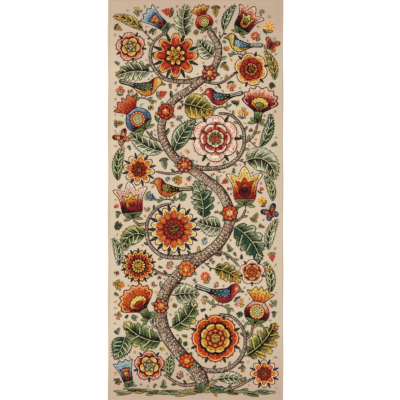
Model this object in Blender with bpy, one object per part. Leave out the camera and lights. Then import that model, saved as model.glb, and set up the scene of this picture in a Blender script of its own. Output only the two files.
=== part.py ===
"""Crewel embroidery panel: a long linen cloth lying flat, with a flowering stem worked on it in wool.

The linen is one sheet with a narrow hem turned all round. Every worked motif stands a little proud
of it as a low, crowned pad of stitches. Metres, +Z up, +Y towards the top of the design.
"""

import math
from collections import namedtuple

import bmesh
import bpy
import numpy as np

MM = 0.001
TAU = 2 * math.pi

# Linen ground
PANEL_WIDTH = 810 * MM
PANEL_LENGTH = 1870 * MM
LINEN = 1.2 * MM
HEM_WIDTH = 8 * MM
HEM_RISE = 0.6 * MM
HEM_SLOPE = 0.7 * MM
EDGE_STEP = 60 * MM
EDGE_WANDER = 0.9 * MM
WANDER_LENGTH = 410 * MM

# Worked wool
GAP = 0.3 * MM
WOOL_RIM = 0.9 * MM
CROWN_RISE = 0.5 * MM
CROWN_INSET = 0.009
STEM_HEIGHT = 1.3 * MM
BRANCH_HEIGHT = 1.0 * MM
LAYER_STEP = 0.02 * MM
SAMPLES_A_SPAN = 4
STEM_TIP = 10 * MM

Wool = namedtuple("Wool", "colour roughness")
WOOLS = {
    "linen": Wool((0.61, 0.48, 0.34), 0.95),
    "wool_brown": Wool((0.16, 0.09, 0.07), 0.85),
    "wool_red": Wool((0.55, 0.08, 0.03), 0.85),
    "wool_crimson": Wool((0.30, 0.02, 0.05), 0.85),
    "wool_coral": Wool((0.66, 0.24, 0.16), 0.85),
    "wool_gold": Wool((0.68, 0.33, 0.08), 0.85),
    "wool_green": Wool((0.12, 0.20, 0.07), 0.85),
    "wool_sage": Wool((0.22, 0.29, 0.18), 0.85),
    "wool_blue": Wool((0.10, 0.18, 0.30), 0.85),
}

# The main stem climbs the cloth in wide bends. Points are millimetres from the panel's centre.
STEM_POINTS = [
    (36, -858), (14, -800), (-66, -716), (-142, -610), (-160, -490), (-106, -376), (6, -282), (112, -196), (160, -84),
    (118, 36), (10, 122), (-104, 206), (-158, 322), (-118, 442), (-12, 522), (80, 604), (108, 702), (62, 786),
]
STEM_WIDTHS = (60 * MM, 26 * MM)

# Branches leave the main stem. Those of four or more points curl round a large blossom.
Branch = namedtuple("Branch", "points root tip")
BRANCHES = [
    Branch([(-30, -752), (60, -790), (160, -776), (222, -706), (226, -612), (176, -545), (108, -528)], 21, 9),
    Branch([(50, -240), (-40, -262), (-150, -258), (-216, -196), (-222, -100), (-172, -34), (-110, -16)], 21, 9),
    Branch([(-56, 170), (40, 146), (150, 160), (216, 226), (222, 320), (172, 388), (106, 402)], 21, 9),
    Branch([(42, 566), (-50, 548), (-150, 566), (-206, 640), (-196, 726), (-140, 776)], 21, 9),
    Branch([(226, -650), (258, -618), (264, -574)], 12, 7),
    Branch([(-222, -108), (-262, -112), (-288, -92)], 12, 7),
    Branch([(222, 262), (266, 296), (288, 350)], 12, 7),
    Branch([(-140, -604), (-186, -588), (-211, -556)], 12, 7),
    Branch([(158, -110), (210, -84), (233, -42)], 12, 7),
    Branch([(-150, 270), (-196, 286), (-226, 318)], 12, 7),
    Branch([(-70, -350), (-140, -346), (-202, -318)], 12, 7),
    Branch([(70, -236), (144, -252), (203, -308)], 12, 7),
    Branch([(-30, 148), (-110, 122), (-184, 132)], 12, 7),
    Branch([(30, 552), (110, 540), (186, 588)], 12, 7),
    Branch([(30, -845), (-60, -856), (-148, -808)], 16, 7),
    Branch([(40, -850), (150, -876), (262, -828)], 16, 7),
    Branch([(24, -838), (2, -876), (-36, -890)], 26, 5),
    Branch([(44, -838), (72, -880), (110, -892)], 26, 5),
]

# Half outlines of the blossoms drawn from the side: x across, y from base to tip, both in lengths.
POMEGRANATE = [
    (0, 0), (0.10, 0.015), (0.27, 0.12), (0.33, 0.30), (0.25, 0.48), (0.15, 0.58), (0.22, 0.68),
    (0.37, 0.84), (0.24, 0.84), (0.15, 0.97), (0.07, 0.88), (0, 1),
]
TULIP = [
    (0, 0), (0.12, 0.02), (0.26, 0.16), (0.29, 0.38), (0.33, 0.58), (0.47, 0.80), (0.28, 0.78),
    (0.15, 0.72), (0.12, 0.84), (0, 1),
]
CARNATION = [
    (0, 0), (0.07, 0.01), (0.10, 0.16), (0.12, 0.30), (0.30, 0.42), (0.50, 0.58), (0.43, 0.66),
    (0.47, 0.78), (0.34, 0.80), (0.33, 0.92), (0.20, 0.90), (0.13, 1), (0, 0.93),
]
BELL = [
    (0, 0), (0.10, 0.03), (0.17, 0.25), (0.20, 0.50), (0.30, 0.80), (0.36, 0.95), (0.20, 0.88),
    (0.12, 1), (0, 0.90),
]
BUTTERFLY = [
    (0, 0.10), (0.03, 0.22), (0.09, 0.30), (0.26, 0.46), (0.44, 0.47), (0.49, 0.34), (0.38, 0.17), (0.20, 0.05),
    (0.32, -0.02), (0.38, -0.16), (0.30, -0.30), (0.16, -0.30), (0.06, -0.16), (0, -0.22),
]
SONGBIRD = [
    (-0.50, 0.045), (-0.30, 0.035), (-0.16, -0.015), (0, -0.10), (0.14, -0.11), (0.26, -0.03), (0.31, 0.08),
    (0.35, 0.16), (0.40, 0.20), (0.50, 0.215), (0.41, 0.25), (0.37, 0.31), (0.29, 0.34), (0.20, 0.30),
    (0.13, 0.21), (0, 0.15), (-0.18, 0.11), (-0.34, 0.115), (-0.52, 0.13),
]

# One row a motif: its kind, its origin in millimetres from the panel's centre, its heading in
# degrees clockwise from +Y, its length or diameter in millimetres, -1 where it is mirrored, its wool.
Motif = namedtuple("Motif", "name kind x y turn size flip wool")
MOTIFS = [
    Motif("rose_low_right", "rose_8", 92, -640, 0, 216, 1, "wool_red"),
    Motif("aster_mid_left", "aster", -100, -136, 0, 220, 1, "wool_gold"),
    Motif("rose_mid_right", "rose_6", 92, 284, 0, 216, 1, "wool_coral"),
    Motif("star_top_left", "star", -92, 668, 0, 208, 1, "wool_red"),
    Motif("pomegranate_low", "pomegranate", 274, -572, 11, 176, 1, "wool_crimson"),
    Motif("tulip_left", "tulip", -289, -85, -6, 172, 1, "wool_coral"),
    Motif("carnation_right", "carnation", 285, 357, 8, 170, 1, "wool_crimson"),
    Motif("pomegranate_top", "pomegranate", 51, 787, -17, 124, 1, "wool_red"),
    Motif("carnation_left", "carnation", -214, -552, -34, 176, 1, "wool_coral"),
    Motif("tulip_right", "tulip", 229, -25, -1, 182, 1, "wool_gold"),
    Motif("pomegranate_left", "pomegranate", -232, 327, -37, 184, 1, "wool_blue"),
    Motif("rose_right", "rose_5", 262, -334, 0, 116, 1, "wool_coral"),
    Motif("aster_left", "aster", -264, -305, 12, 150, 1, "wool_red"),
    Motif("star_left", "star", -261, 141, 9, 148, 1, "wool_gold"),
    Motif("rose_top_right", "rose_6", 257, 605, -13, 152, 1, "wool_gold"),
    Motif("bell_top", "bell", -126, 790, -53, 136, 1, "wool_blue"),
    Motif("rose_low_left", "rose_5", -214, -767, 0, 138, 1, "wool_crimson"),
    Motif("star_low_right", "star", 318, -804, 0, 132, 1, "wool_gold"),
    Motif("tulip_top", "tulip", 200, 773, 32, 144, 1, "wool_crimson"),
    Motif("bell_low", "bell", -304, -863, -16, 128, 1, "wool_blue"),
    Motif("rose_top_left", "rose_5", -300, 709, -10, 134, 1, "wool_crimson"),
    Motif("leaf_01", "lobed_leaf", -164, -653, -87, 196, 1, "wool_green"),
    Motif("leaf_02", "oak_leaf", 240, -719, 61, 206, 1, "wool_sage"),
    Motif("leaf_03", "heart_leaf", -94, -440, 78, 114, 1, "wool_sage"),
    Motif("leaf_04", "paisley_leaf", -236, -166, -60, 146, -1, "wool_green"),
    Motif("leaf_05", "lobed_leaf", 181, -129, 118, 204, 1, "wool_green"),
    Motif("leaf_06", "slim_leaf", 346, -426, 12, 148, 1, "wool_green"),
    Motif("leaf_07", "oak_leaf", 38, -79, 6, 178, 1, "wool_green"),
    Motif("leaf_08", "paisley_leaf", 239, 179, 58, 192, 1, "wool_sage"),
    Motif("leaf_10", "heart_leaf", -49, 443, 98, 142, 1, "wool_sage"),
    Motif("leaf_11", "oak_leaf", -212, 593, -77, 162, 1, "wool_sage"),
    Motif("leaf_13", "slim_leaf", 132, 786, 2, 130, -1, "wool_green"),
    Motif("leaf_14", "slim_leaf", -246, 787, -43, 156, 1, "wool_sage"),
    Motif("leaf_15", "leaf", -156, 227, -80, 174, 1, "wool_sage"),
    Motif("leaf_16", "leaf", -118, -816, -14, 102, 1, "wool_green"),
    Motif("leaf_17", "leaf", 106, -828, 74, 124, 1, "wool_sage"),
    Motif("leaf_18", "lobed_leaf", 90, -319, 94, 140, 1, "wool_sage"),
    Motif("leaf_19", "slim_leaf", -357, -303, 11, 134, 1, "wool_sage"),
    Motif("leaf_20", "slim_leaf", 300, 250, 40, 162, 1, "wool_green"),
    Motif("leaf_21", "heart_leaf", -329, -637, 195, 112, 1, "wool_green"),
    Motif("leaf_22", "lobed_leaf", -44, 762, -22, 148, 1, "wool_sage"),
    Motif("leaf_23", "slim_leaf", 365, 557, 4, 148, 1, "wool_sage"),
    Motif("leaf_24", "slim_leaf", 339, -230, -6, 154, -1, "wool_sage"),
    Motif("leaf_25", "slim_leaf", -356, 92, -14, 166, -1, "wool_green"),
    Motif("leaf_26", "slim_leaf", 356, -4, 5, 128, 1, "wool_green"),
    Motif("leaf_27", "leaf", -93, 230, 14, 174, 1, "wool_green"),
    Motif("leaf_28", "lobed_leaf", -105, -586, 66, 166, -1, "wool_green"),
    Motif("leaf_29", "heart_leaf", 114, -128, -85, 110, 1, "wool_sage"),
    Motif("leaf_30", "heart_leaf", 77, 669, -52, 100, 1, "wool_sage"),
    Motif("bird_low", "songbird", 108, -446, 14, 220, 1, "wool_blue"),
    Motif("bird_mid", "songbird", -115, 37, 0, 194, -1, "wool_brown"),
    Motif("bird_high", "songbird", 125, 464, -9, 186, -1, "wool_blue"),
    Motif("bird_left", "songbird", -248, 510, 12, 208, 1, "wool_crimson"),
    Motif("bird_top", "songbird", 216, 706, 4, 180, -1, "wool_green"),
    Motif("butterfly_top", "butterfly", 348, 712, 24, 72, 1, "wool_gold"),
    Motif("butterfly_left", "butterfly", -337, 283, -34, 76, 1, "wool_coral"),
    Motif("butterfly_right", "butterfly", 350, -64, -30, 78, 1, "wool_blue"),
]


def spline(points, steps, closed=False):
    """A Catmull-Rom curve through points, with the given number of steps in each span."""
    p = np.asarray(points, float)
    if closed:
        p = np.vstack([p[-1], p, p[0], p[1]])
    else:
        p = np.vstack([2 * p[0] - p[1], p, 2 * p[-1] - p[-2]])
    t = np.linspace(0, 1, steps, endpoint=False)[:, None]
    spans = []
    for a, b, c, d in zip(p[:-3], p[1:-2], p[2:-1], p[3:]):
        square = (2 * a - 5 * b + 4 * c - d) * t**2
        cube = (3 * b - a - 3 * c + d) * t**3
        spans.append(0.5 * (2 * b + (c - a) * t + square + cube))
    curve = np.vstack(spans)
    return curve if closed else np.vstack([curve, p[-2]])


def petal_ring(petals, notch, sharpness, points_a_petal):
    """A round blossom seen from above: a unit circle notched between its petals."""
    angle = np.linspace(0, TAU, petals * points_a_petal, endpoint=False)
    radius = 0.5 * (1 - notch * (1 - np.abs(np.cos(petals * angle / 2)) ** sharpness))
    return np.c_[radius * np.sin(angle), radius * np.cos(angle)]


def mirrored(half, steps=2):
    """A closed outline from its right half, whose first and last points are on the axis."""
    half = np.asarray(half, float)
    return spline(np.vstack([half, half[-2:0:-1] * [-1, 1]]), steps, closed=True)


def leaf_outline(width, bend, lobes=0, cut=0.0, fullness=0.8, steps=14):
    """A leaf of unit length along a bent midrib, its edge cut into lobes."""
    t = np.linspace(0, 1, steps + 1)
    heading = bend * t
    midrib = np.c_[(1 - np.cos(heading)) / bend, np.sin(heading) / bend]
    half = 0.5 * width * np.sin(np.pi * t**fullness) ** 0.85
    if lobes:
        half = half * (1 - cut * (1 - np.abs(np.sin(lobes * np.pi * t)) ** 0.8))
    half = half + 0.006 * (1 - t)
    across = np.c_[np.cos(heading), -np.sin(heading)] * half[:, None]
    return np.vstack([midrib + across, (midrib - across)[-2:0:-1]])


OUTLINES = {
    "rose_8": petal_ring(8, 0.16, 0.55, 6),
    "rose_6": petal_ring(6, 0.22, 0.55, 8),
    "rose_5": petal_ring(5, 0.26, 0.6, 8),
    "aster": petal_ring(14, 0.30, 1.2, 4),
    "star": petal_ring(8, 0.42, 1.1, 6),
    "pomegranate": mirrored(POMEGRANATE),
    "tulip": mirrored(TULIP),
    "carnation": mirrored(CARNATION),
    "bell": mirrored(BELL),
    "butterfly": mirrored(BUTTERFLY),
    "songbird": spline(SONGBIRD, 2, closed=True),
    "leaf": leaf_outline(0.42, 0.7),
    "slim_leaf": leaf_outline(0.26, -0.8),
    "lobed_leaf": leaf_outline(0.62, 0.9, lobes=5, cut=0.45, fullness=0.75, steps=25),
    "oak_leaf": leaf_outline(0.60, -0.7, lobes=6, cut=0.55, steps=30),
    "paisley_leaf": leaf_outline(0.55, 2.4, fullness=0.62),
    "heart_leaf": leaf_outline(0.80, 0.35, fullness=0.60),
}


def motif_outline(motif):
    """The motif's outline in its place on the panel, in metres."""
    turn = math.radians(motif.turn)
    points = OUTLINES[motif.kind] * [motif.flip, 1] * motif.size * MM
    x = points[:, 0] * math.cos(turn) + points[:, 1] * math.sin(turn)
    y = points[:, 1] * math.cos(turn) - points[:, 0] * math.sin(turn)
    return np.c_[x, y] + np.array([motif.x, motif.y]) * MM


def stem_outline(points, root_width, tip_width, steps):
    """A stem along points, narrowing from its root and rounded off at its tip."""
    path = spline(points, steps) * MM
    step = np.gradient(path, axis=0)
    step /= np.linalg.norm(step, axis=1)[:, None]
    travelled = np.concatenate([[0], np.cumsum(np.linalg.norm(np.diff(path, axis=0), axis=1))])
    to_tip = travelled[-1] - travelled
    width = np.interp(travelled, [0, travelled[-1]], [root_width, tip_width])
    width *= np.clip(to_tip / STEM_TIP, 0.25, 1) ** 0.5
    side = np.c_[step[:, 1], -step[:, 0]] * width[:, None] / 2
    return np.vstack([path + side, (path - side)[::-1]])


def panel_outline():
    """The cloth's edge: a rectangle whose hand-turned sides wander a little."""
    half = np.array([PANEL_WIDTH, PANEL_LENGTH]) / 2
    corners = half * [(1, 1), (-1, 1), (-1, -1), (1, -1)]
    sides = []
    for start, end in zip(corners, np.roll(corners, -1, axis=0)):
        count = round(np.linalg.norm(end - start) / EDGE_STEP)
        sides.append(start + (end - start) * np.arange(count)[:, None] / count)
    points = np.vstack(sides)
    phase = TAU * points / WANDER_LENGTH
    points += EDGE_WANDER * np.c_[np.sin(phase[:, 1] + points[:, 0]), np.sin(1.7 * phase[:, 0] + points[:, 1])]
    return points - (points.min(0) + points.max(0)) / 2


def finish(wool):
    """The Principled material of one wool, or of the linen."""
    material = bpy.data.materials.get(wool)
    if material is None:
        material = bpy.data.materials.new(wool)
        material.use_nodes = True
        shader = material.node_tree.nodes["Principled BSDF"]
        shader.inputs["Base Color"].default_value = (*WOOLS[wool].colour, 1)
        shader.inputs["Roughness"].default_value = WOOLS[wool].roughness
        shader.inputs["Metallic"].default_value = 0
    return material


def slab(name, outline, bottom, height, wool, collection):
    """A flat piece with the given outline, from bottom to bottom + height, as a welded mesh."""
    curve = bpy.data.curves.new(name, "CURVE")
    curve.dimensions = "2D"
    curve.fill_mode = "BOTH"
    curve.extrude = height / 2
    loop = curve.splines.new("POLY")
    loop.points.add(len(outline) - 1)
    for point, (x, y) in zip(loop.points, outline):
        point.co = (x, y, 0, 1)
    loop.use_cyclic_u = True
    drawn = bpy.data.objects.new(name + "_outline", curve)
    collection.objects.link(drawn)
    bpy.context.view_layer.update()
    graph = bpy.context.evaluated_depsgraph_get()
    mesh = bpy.data.meshes.new_from_object(drawn.evaluated_get(graph))
    bpy.data.objects.remove(drawn)
    form = bmesh.new()
    form.from_mesh(mesh)
    bmesh.ops.remove_doubles(form, verts=form.verts, dist=0.01 * MM)
    bmesh.ops.recalc_face_normals(form, faces=form.faces)
    for side in (1, -1):
        cap = [f for f in form.faces if all(v.co.z * side > 0 for v in f.verts)]
        bmesh.ops.dissolve_faces(form, faces=cap)
    form.to_mesh(mesh)
    form.free()
    mesh.materials.clear()
    mesh.materials.append(finish(wool))
    piece = bpy.data.objects.new(name, mesh)
    piece.location.z = bottom + height / 2
    collection.objects.link(piece)
    return piece


def step_in(piece, steps):
    """Draws a smaller outline inside the piece's top for each step, then raises it by the step's rise."""
    form = bmesh.new()
    form.from_mesh(piece.data)
    top = [f for f in form.faces if all(v.co.z > 0 for v in f.verts)]
    for width, rise in steps:
        bmesh.ops.inset_region(form, faces=top, thickness=width, depth=rise, use_even_offset=True)
    form.to_mesh(piece.data)
    form.free()


def linen_ground(collection):
    """The cloth, with its hem a little thicker than the field inside it."""
    ground = slab("linen_ground", panel_outline(), 0, LINEN + HEM_RISE, "linen", collection)
    step_in(ground, [(HEM_WIDTH, 0), (HEM_SLOPE, -HEM_RISE)])


def worked_motif(motif, collection):
    """A blossom, leaf, bird or butterfly as a pad of wool, a little higher inside its edge."""
    pad = slab(motif.name, motif_outline(motif), LINEN + GAP, WOOL_RIM, motif.wool, collection)
    step_in(pad, [(CROWN_INSET * motif.size * MM, CROWN_RISE)])


def worked_stem(collection, guides):
    """The main stem with every branch joined to it. Each branch starts one thin layer above the last."""
    outline = stem_outline(STEM_POINTS, *STEM_WIDTHS, SAMPLES_A_SPAN)
    stem = slab("stem", outline, LINEN + GAP, STEM_HEIGHT, "wool_brown", collection)
    for number, branch in enumerate(BRANCHES, 1):
        outline = stem_outline(branch.points, branch.root * MM, branch.tip * MM, SAMPLES_A_SPAN)
        bottom = LINEN + GAP + number * LAYER_STEP
        height = BRANCH_HEIGHT - 2 * number * LAYER_STEP
        guide = slab(f"branch_{number:02d}", outline, bottom, height, "wool_brown", guides)
        guide.hide_render = True
        guide.display_type = "WIRE"
    join = stem.modifiers.new("branches", "BOOLEAN")
    join.operation = "UNION"
    join.operand_type = "COLLECTION"
    join.collection = guides


def new_collection(name):
    collection = bpy.data.collections.new(name)
    bpy.context.scene.collection.children.link(collection)
    return collection


def build():
    for old in list(bpy.data.objects):
        bpy.data.objects.remove(old)
    panel = new_collection("crewel_panel")
    guides = new_collection("branch_guides")
    linen_ground(panel)
    worked_stem(panel, guides)
    for motif in MOTIFS:
        worked_motif(motif, panel)


build()
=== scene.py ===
"""Crewel panel: linen and every strand of its wool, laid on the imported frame."""

import math
from collections import namedtuple

import bpy
import numpy as np
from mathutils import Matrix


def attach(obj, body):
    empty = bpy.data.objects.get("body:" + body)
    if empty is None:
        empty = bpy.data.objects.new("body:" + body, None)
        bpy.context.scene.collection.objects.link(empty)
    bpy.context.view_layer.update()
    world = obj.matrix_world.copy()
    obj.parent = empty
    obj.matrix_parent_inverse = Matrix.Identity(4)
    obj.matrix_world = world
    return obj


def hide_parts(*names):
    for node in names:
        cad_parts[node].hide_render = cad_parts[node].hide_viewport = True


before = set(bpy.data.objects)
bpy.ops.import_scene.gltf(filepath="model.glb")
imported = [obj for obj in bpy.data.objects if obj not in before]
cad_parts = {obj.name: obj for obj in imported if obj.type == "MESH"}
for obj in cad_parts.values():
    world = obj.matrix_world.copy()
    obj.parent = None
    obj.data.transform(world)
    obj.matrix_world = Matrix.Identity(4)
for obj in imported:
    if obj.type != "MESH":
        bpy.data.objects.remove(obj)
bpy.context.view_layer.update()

MM = 0.001
TAU = 2 * math.pi

# Linen, as in the solids
PANEL_WIDTH = 810 * MM
PANEL_LENGTH = 1870 * MM
LINEN = 1.2 * MM
HEM_RISE = 0.6 * MM
EDGE_WANDER = 0.9 * MM
WANDER_LENGTH = 410 * MM
CLOTH_CELL = 12 * MM

# Wool: the yarn, the rows of long-and-short stitch, how high each kind of work starts, and how much strands
# vary in colour, width and height and in the place of their ends
YARN = 2.2 * MM
PITCH = 1.95 * MM
LONG = 12 * MM
PAD_TOP = LINEN + 0.55 * MM
STITCH_BASE = LINEN + 0.3 * MM
STITCH_HEIGHT = 1.0 * MM
KNOT_HEIGHT = 1.9 * MM
LINE_WIDTH = 4.8 * MM
LINE_STEP = 5.6 * MM
LINE_HEIGHT = 1.15 * MM
LINE_BASE = STITCH_BASE + 0.25 * MM
DETAIL_UP = 0.5 * MM
DETAIL_BASE = STITCH_BASE + DETAIL_UP
LATTICE_UP = 0.7 * MM
LATTICE_SPACING = 6.5 * MM
EYE_SPACING = 4 * MM
STEM_TIP = 10 * MM
VARIED = (0.12, 0.08, 0.10)
UNEVEN = 0.35

# The main stem, then its branches: points and widths in millimetres
Stem = namedtuple("Stem", "points root tip", defaults=(12, 7))
STEMS = [
    Stem([
        (36, -858), (14, -800), (-66, -716), (-142, -610), (-160, -490), (-106, -376), (6, -282), (112, -196),
        (160, -84), (118, 36), (10, 122), (-104, 206), (-158, 322), (-118, 442), (-12, 522), (80, 604),
        (108, 702), (62, 786),
    ], 60, 26),
    Stem([(-30, -752), (60, -790), (160, -776), (222, -706), (226, -612), (176, -545), (108, -528)], 21, 9),
    Stem([
        (50, -240), (-40, -262), (-150, -258), (-216, -196), (-222, -100), (-172, -34), (-110, -16),
    ], 21, 9),
    Stem([(-56, 170), (40, 146), (150, 160), (216, 226), (222, 320), (172, 388), (106, 402)], 21, 9),
    Stem([(42, 566), (-50, 548), (-150, 566), (-206, 640), (-196, 726), (-140, 776)], 21, 9),
    Stem([(226, -650), (258, -618), (264, -574)]),
    Stem([(-222, -108), (-262, -112), (-288, -92)]),
    Stem([(222, 262), (266, 296), (288, 350)]),
    Stem([(-140, -604), (-186, -588), (-211, -556)]),
    Stem([(158, -110), (210, -84), (233, -42)]),
    Stem([(-150, 270), (-196, 286), (-226, 318)]),
    Stem([(-70, -350), (-140, -346), (-202, -318)]),
    Stem([(70, -236), (144, -252), (203, -308)]),
    Stem([(-30, 148), (-110, 122), (-184, 132)]),
    Stem([(30, 552), (110, 540), (186, 588)]),
    Stem([(30, -845), (-60, -856), (-148, -808)], 16),
    Stem([(40, -850), (150, -876), (262, -828)], 16),
    Stem([(24, -838), (2, -876), (-36, -890)], 26, 5),
    Stem([(44, -838), (72, -880), (110, -892)], 26, 5),
]

# One side of each symmetrical outline, at unit size
HALVES = {
    "pomegranate": [
        (0, 0), (0.10, 0.015), (0.27, 0.12), (0.33, 0.30), (0.25, 0.48), (0.15, 0.58), (0.22, 0.68),
        (0.37, 0.84), (0.24, 0.84), (0.15, 0.97), (0.07, 0.88), (0, 1),
    ],
    "tulip": [
        (0, 0), (0.12, 0.02), (0.26, 0.16), (0.29, 0.38), (0.33, 0.58), (0.47, 0.80), (0.28, 0.78),
        (0.15, 0.72), (0.12, 0.84), (0, 1),
    ],
    "carnation": [
        (0, 0), (0.07, 0.01), (0.10, 0.16), (0.12, 0.30), (0.30, 0.42), (0.50, 0.58), (0.43, 0.66),
        (0.47, 0.78), (0.34, 0.80), (0.33, 0.92), (0.20, 0.90), (0.13, 1), (0, 0.93),
    ],
    "bell": [
        (0, 0), (0.10, 0.03), (0.17, 0.25), (0.20, 0.50), (0.30, 0.80), (0.36, 0.95), (0.20, 0.88),
        (0.12, 1), (0, 0.90),
    ],
    "butterfly": [
        (0, 0.10), (0.03, 0.22), (0.09, 0.30), (0.26, 0.46), (0.44, 0.47), (0.49, 0.34), (0.38, 0.17),
        (0.20, 0.05), (0.32, -0.02), (0.38, -0.16), (0.30, -0.30), (0.16, -0.30), (0.06, -0.16), (0, -0.22),
    ],
}
SONGBIRD = [
    (-0.50, 0.045), (-0.30, 0.035), (-0.16, -0.015), (0, -0.10), (0.14, -0.11), (0.26, -0.03), (0.31, 0.08),
    (0.35, 0.16), (0.40, 0.20), (0.50, 0.215), (0.41, 0.25), (0.37, 0.31), (0.29, 0.34), (0.20, 0.30),
    (0.13, 0.21), (0, 0.15), (-0.18, 0.11), (-0.34, 0.115), (-0.52, 0.13),
]
WING = [
    (0.20, 0.12), (0.14, 0.19), (0.02, 0.17), (-0.14, 0.10), (-0.30, 0.07), (-0.16, 0.015), (0.02, -0.02),
    (0.14, 0.02),
]
PERCH = [(-0.10, -0.20), (0.02, -0.175), (0.14, -0.175), (0.24, -0.205)]

# Yarn colours as screen values
YARNS = {
    "red": (220, 62, 22), "scarlet": (232, 98, 36), "crimson": (164, 26, 34), "burgundy": (94, 24, 26),
    "coral": (232, 132, 88), "orange": (240, 150, 50), "mustard": (200, 146, 54), "yellow": (252, 216, 112),
    "pink": (248, 196, 168), "cream": (255, 244, 218), "pale": (236, 230, 182), "sage": (164, 169, 130),
    "leaf": (106, 122, 68), "olive": (170, 148, 72), "forest": (44, 38, 13), "moss": (122, 122, 88),
    "bright": (150, 158, 98), "teal": (48, 78, 56), "slate": (88, 118, 142), "sky": (172, 194, 198),
    "navy": (38, 36, 46), "bark": (88, 60, 46), "mauve": (164, 124, 106), "taupe": (196, 162, 134),
    "stone": (226, 204, 172), "ink": (20, 9, 3), "thread": (214, 196, 168),
}

# The record's slot and the yarns that a motif is worked in: from the focus outwards in its outer, inner and
# middle parts, then round its edge, then one yarn each for its spots, its dark lines and its rim.
Dress = namedtuple("Dress", "slot outer inner heart edge spot line rim")


def dress(slot, outer, inner, heart, edge, singles):
    return Dress(slot, *(tuple(names.split()) for names in (outer, inner, heart, edge)), *singles.split())


DRESSES = {
    "flame": dress("wool_red", "ink crimson red scarlet coral", "crimson orange yellow",
                   "burgundy crimson scarlet", "ink burgundy crimson", "yellow ink yellow"),
    "sun": dress("wool_gold", "crimson scarlet orange yellow yellow", "burgundy crimson red",
                 "ink burgundy orange", "ink bark crimson", "bark ink cream"),
    "blush": dress("wool_coral", "crimson coral pink cream coral", "burgundy crimson coral cream",
                   "forest leaf pale", "burgundy crimson", "red burgundy cream"),
    "wine": dress("wool_crimson", "ink burgundy crimson coral pink", "scarlet orange yellow",
                  "forest leaf bright", "ink burgundy", "cream ink pink"),
    "coral": dress("wool_coral", "ink crimson coral pink cream", "crimson orange yellow",
                   "burgundy red orange", "ink burgundy crimson", "red burgundy cream"),
    "blue": dress("wool_blue", "navy slate slate sky", "crimson scarlet coral",
                  "burgundy mustard yellow", "ink navy", "cream ink sky"),
    "fern": dress("wool_green", "forest leaf bright pale", "forest leaf bright yellow",
                  "yellow orange", "forest leaf forest bright", "pale ink pale"),
    "holly": dress("wool_green", "teal teal leaf sage", "forest leaf sage pale",
                   "sage pale", "ink teal forest", "pale ink sage"),
    "sage": dress("wool_sage", "forest moss sage pale", "moss sage pale cream",
                  "olive yellow", "forest moss moss sage", "pale ink cream"),
    "gilded": dress("wool_sage", "forest olive mustard yellow", "forest leaf olive yellow",
                    "orange scarlet", "forest olive leaf", "yellow ink yellow"),
    "bluebird": dress("wool_blue", "navy slate slate", "ink teal slate",
                      "crimson red coral", "ink navy", "cream ink cream"),
    "robin": dress("wool_brown", "burgundy crimson bark", "ink forest olive",
                   "scarlet orange", "ink bark", "yellow ink yellow"),
    "scarlet": dress("wool_crimson", "burgundy crimson red", "forest teal leaf",
                     "orange yellow", "ink burgundy", "pale ink pale"),
    "finch": dress("wool_green", "teal leaf teal", "navy slate sky",
                   "yellow mustard", "ink forest", "cream ink cream"),
}
DRESSES["rust"] = DRESSES["flame"]._replace(slot="wool_coral")


class Motif(namedtuple("Motif", "name kind x y turn size dress flip", defaults=(1,))):
    """A large motif: its place and size in millimetres, and its turn in degrees clockwise."""

    @property
    def slot(self):
        return DRESSES[self.dress].slot

    @property
    def place(self):
        return self.x * MM, self.y * MM, self.turn, self.flip

    def placed(self, outline):
        """An outline of the motif's own unit size, where it lies on the cloth."""
        return turned(outline * self.size * MM, *self.place)


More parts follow.
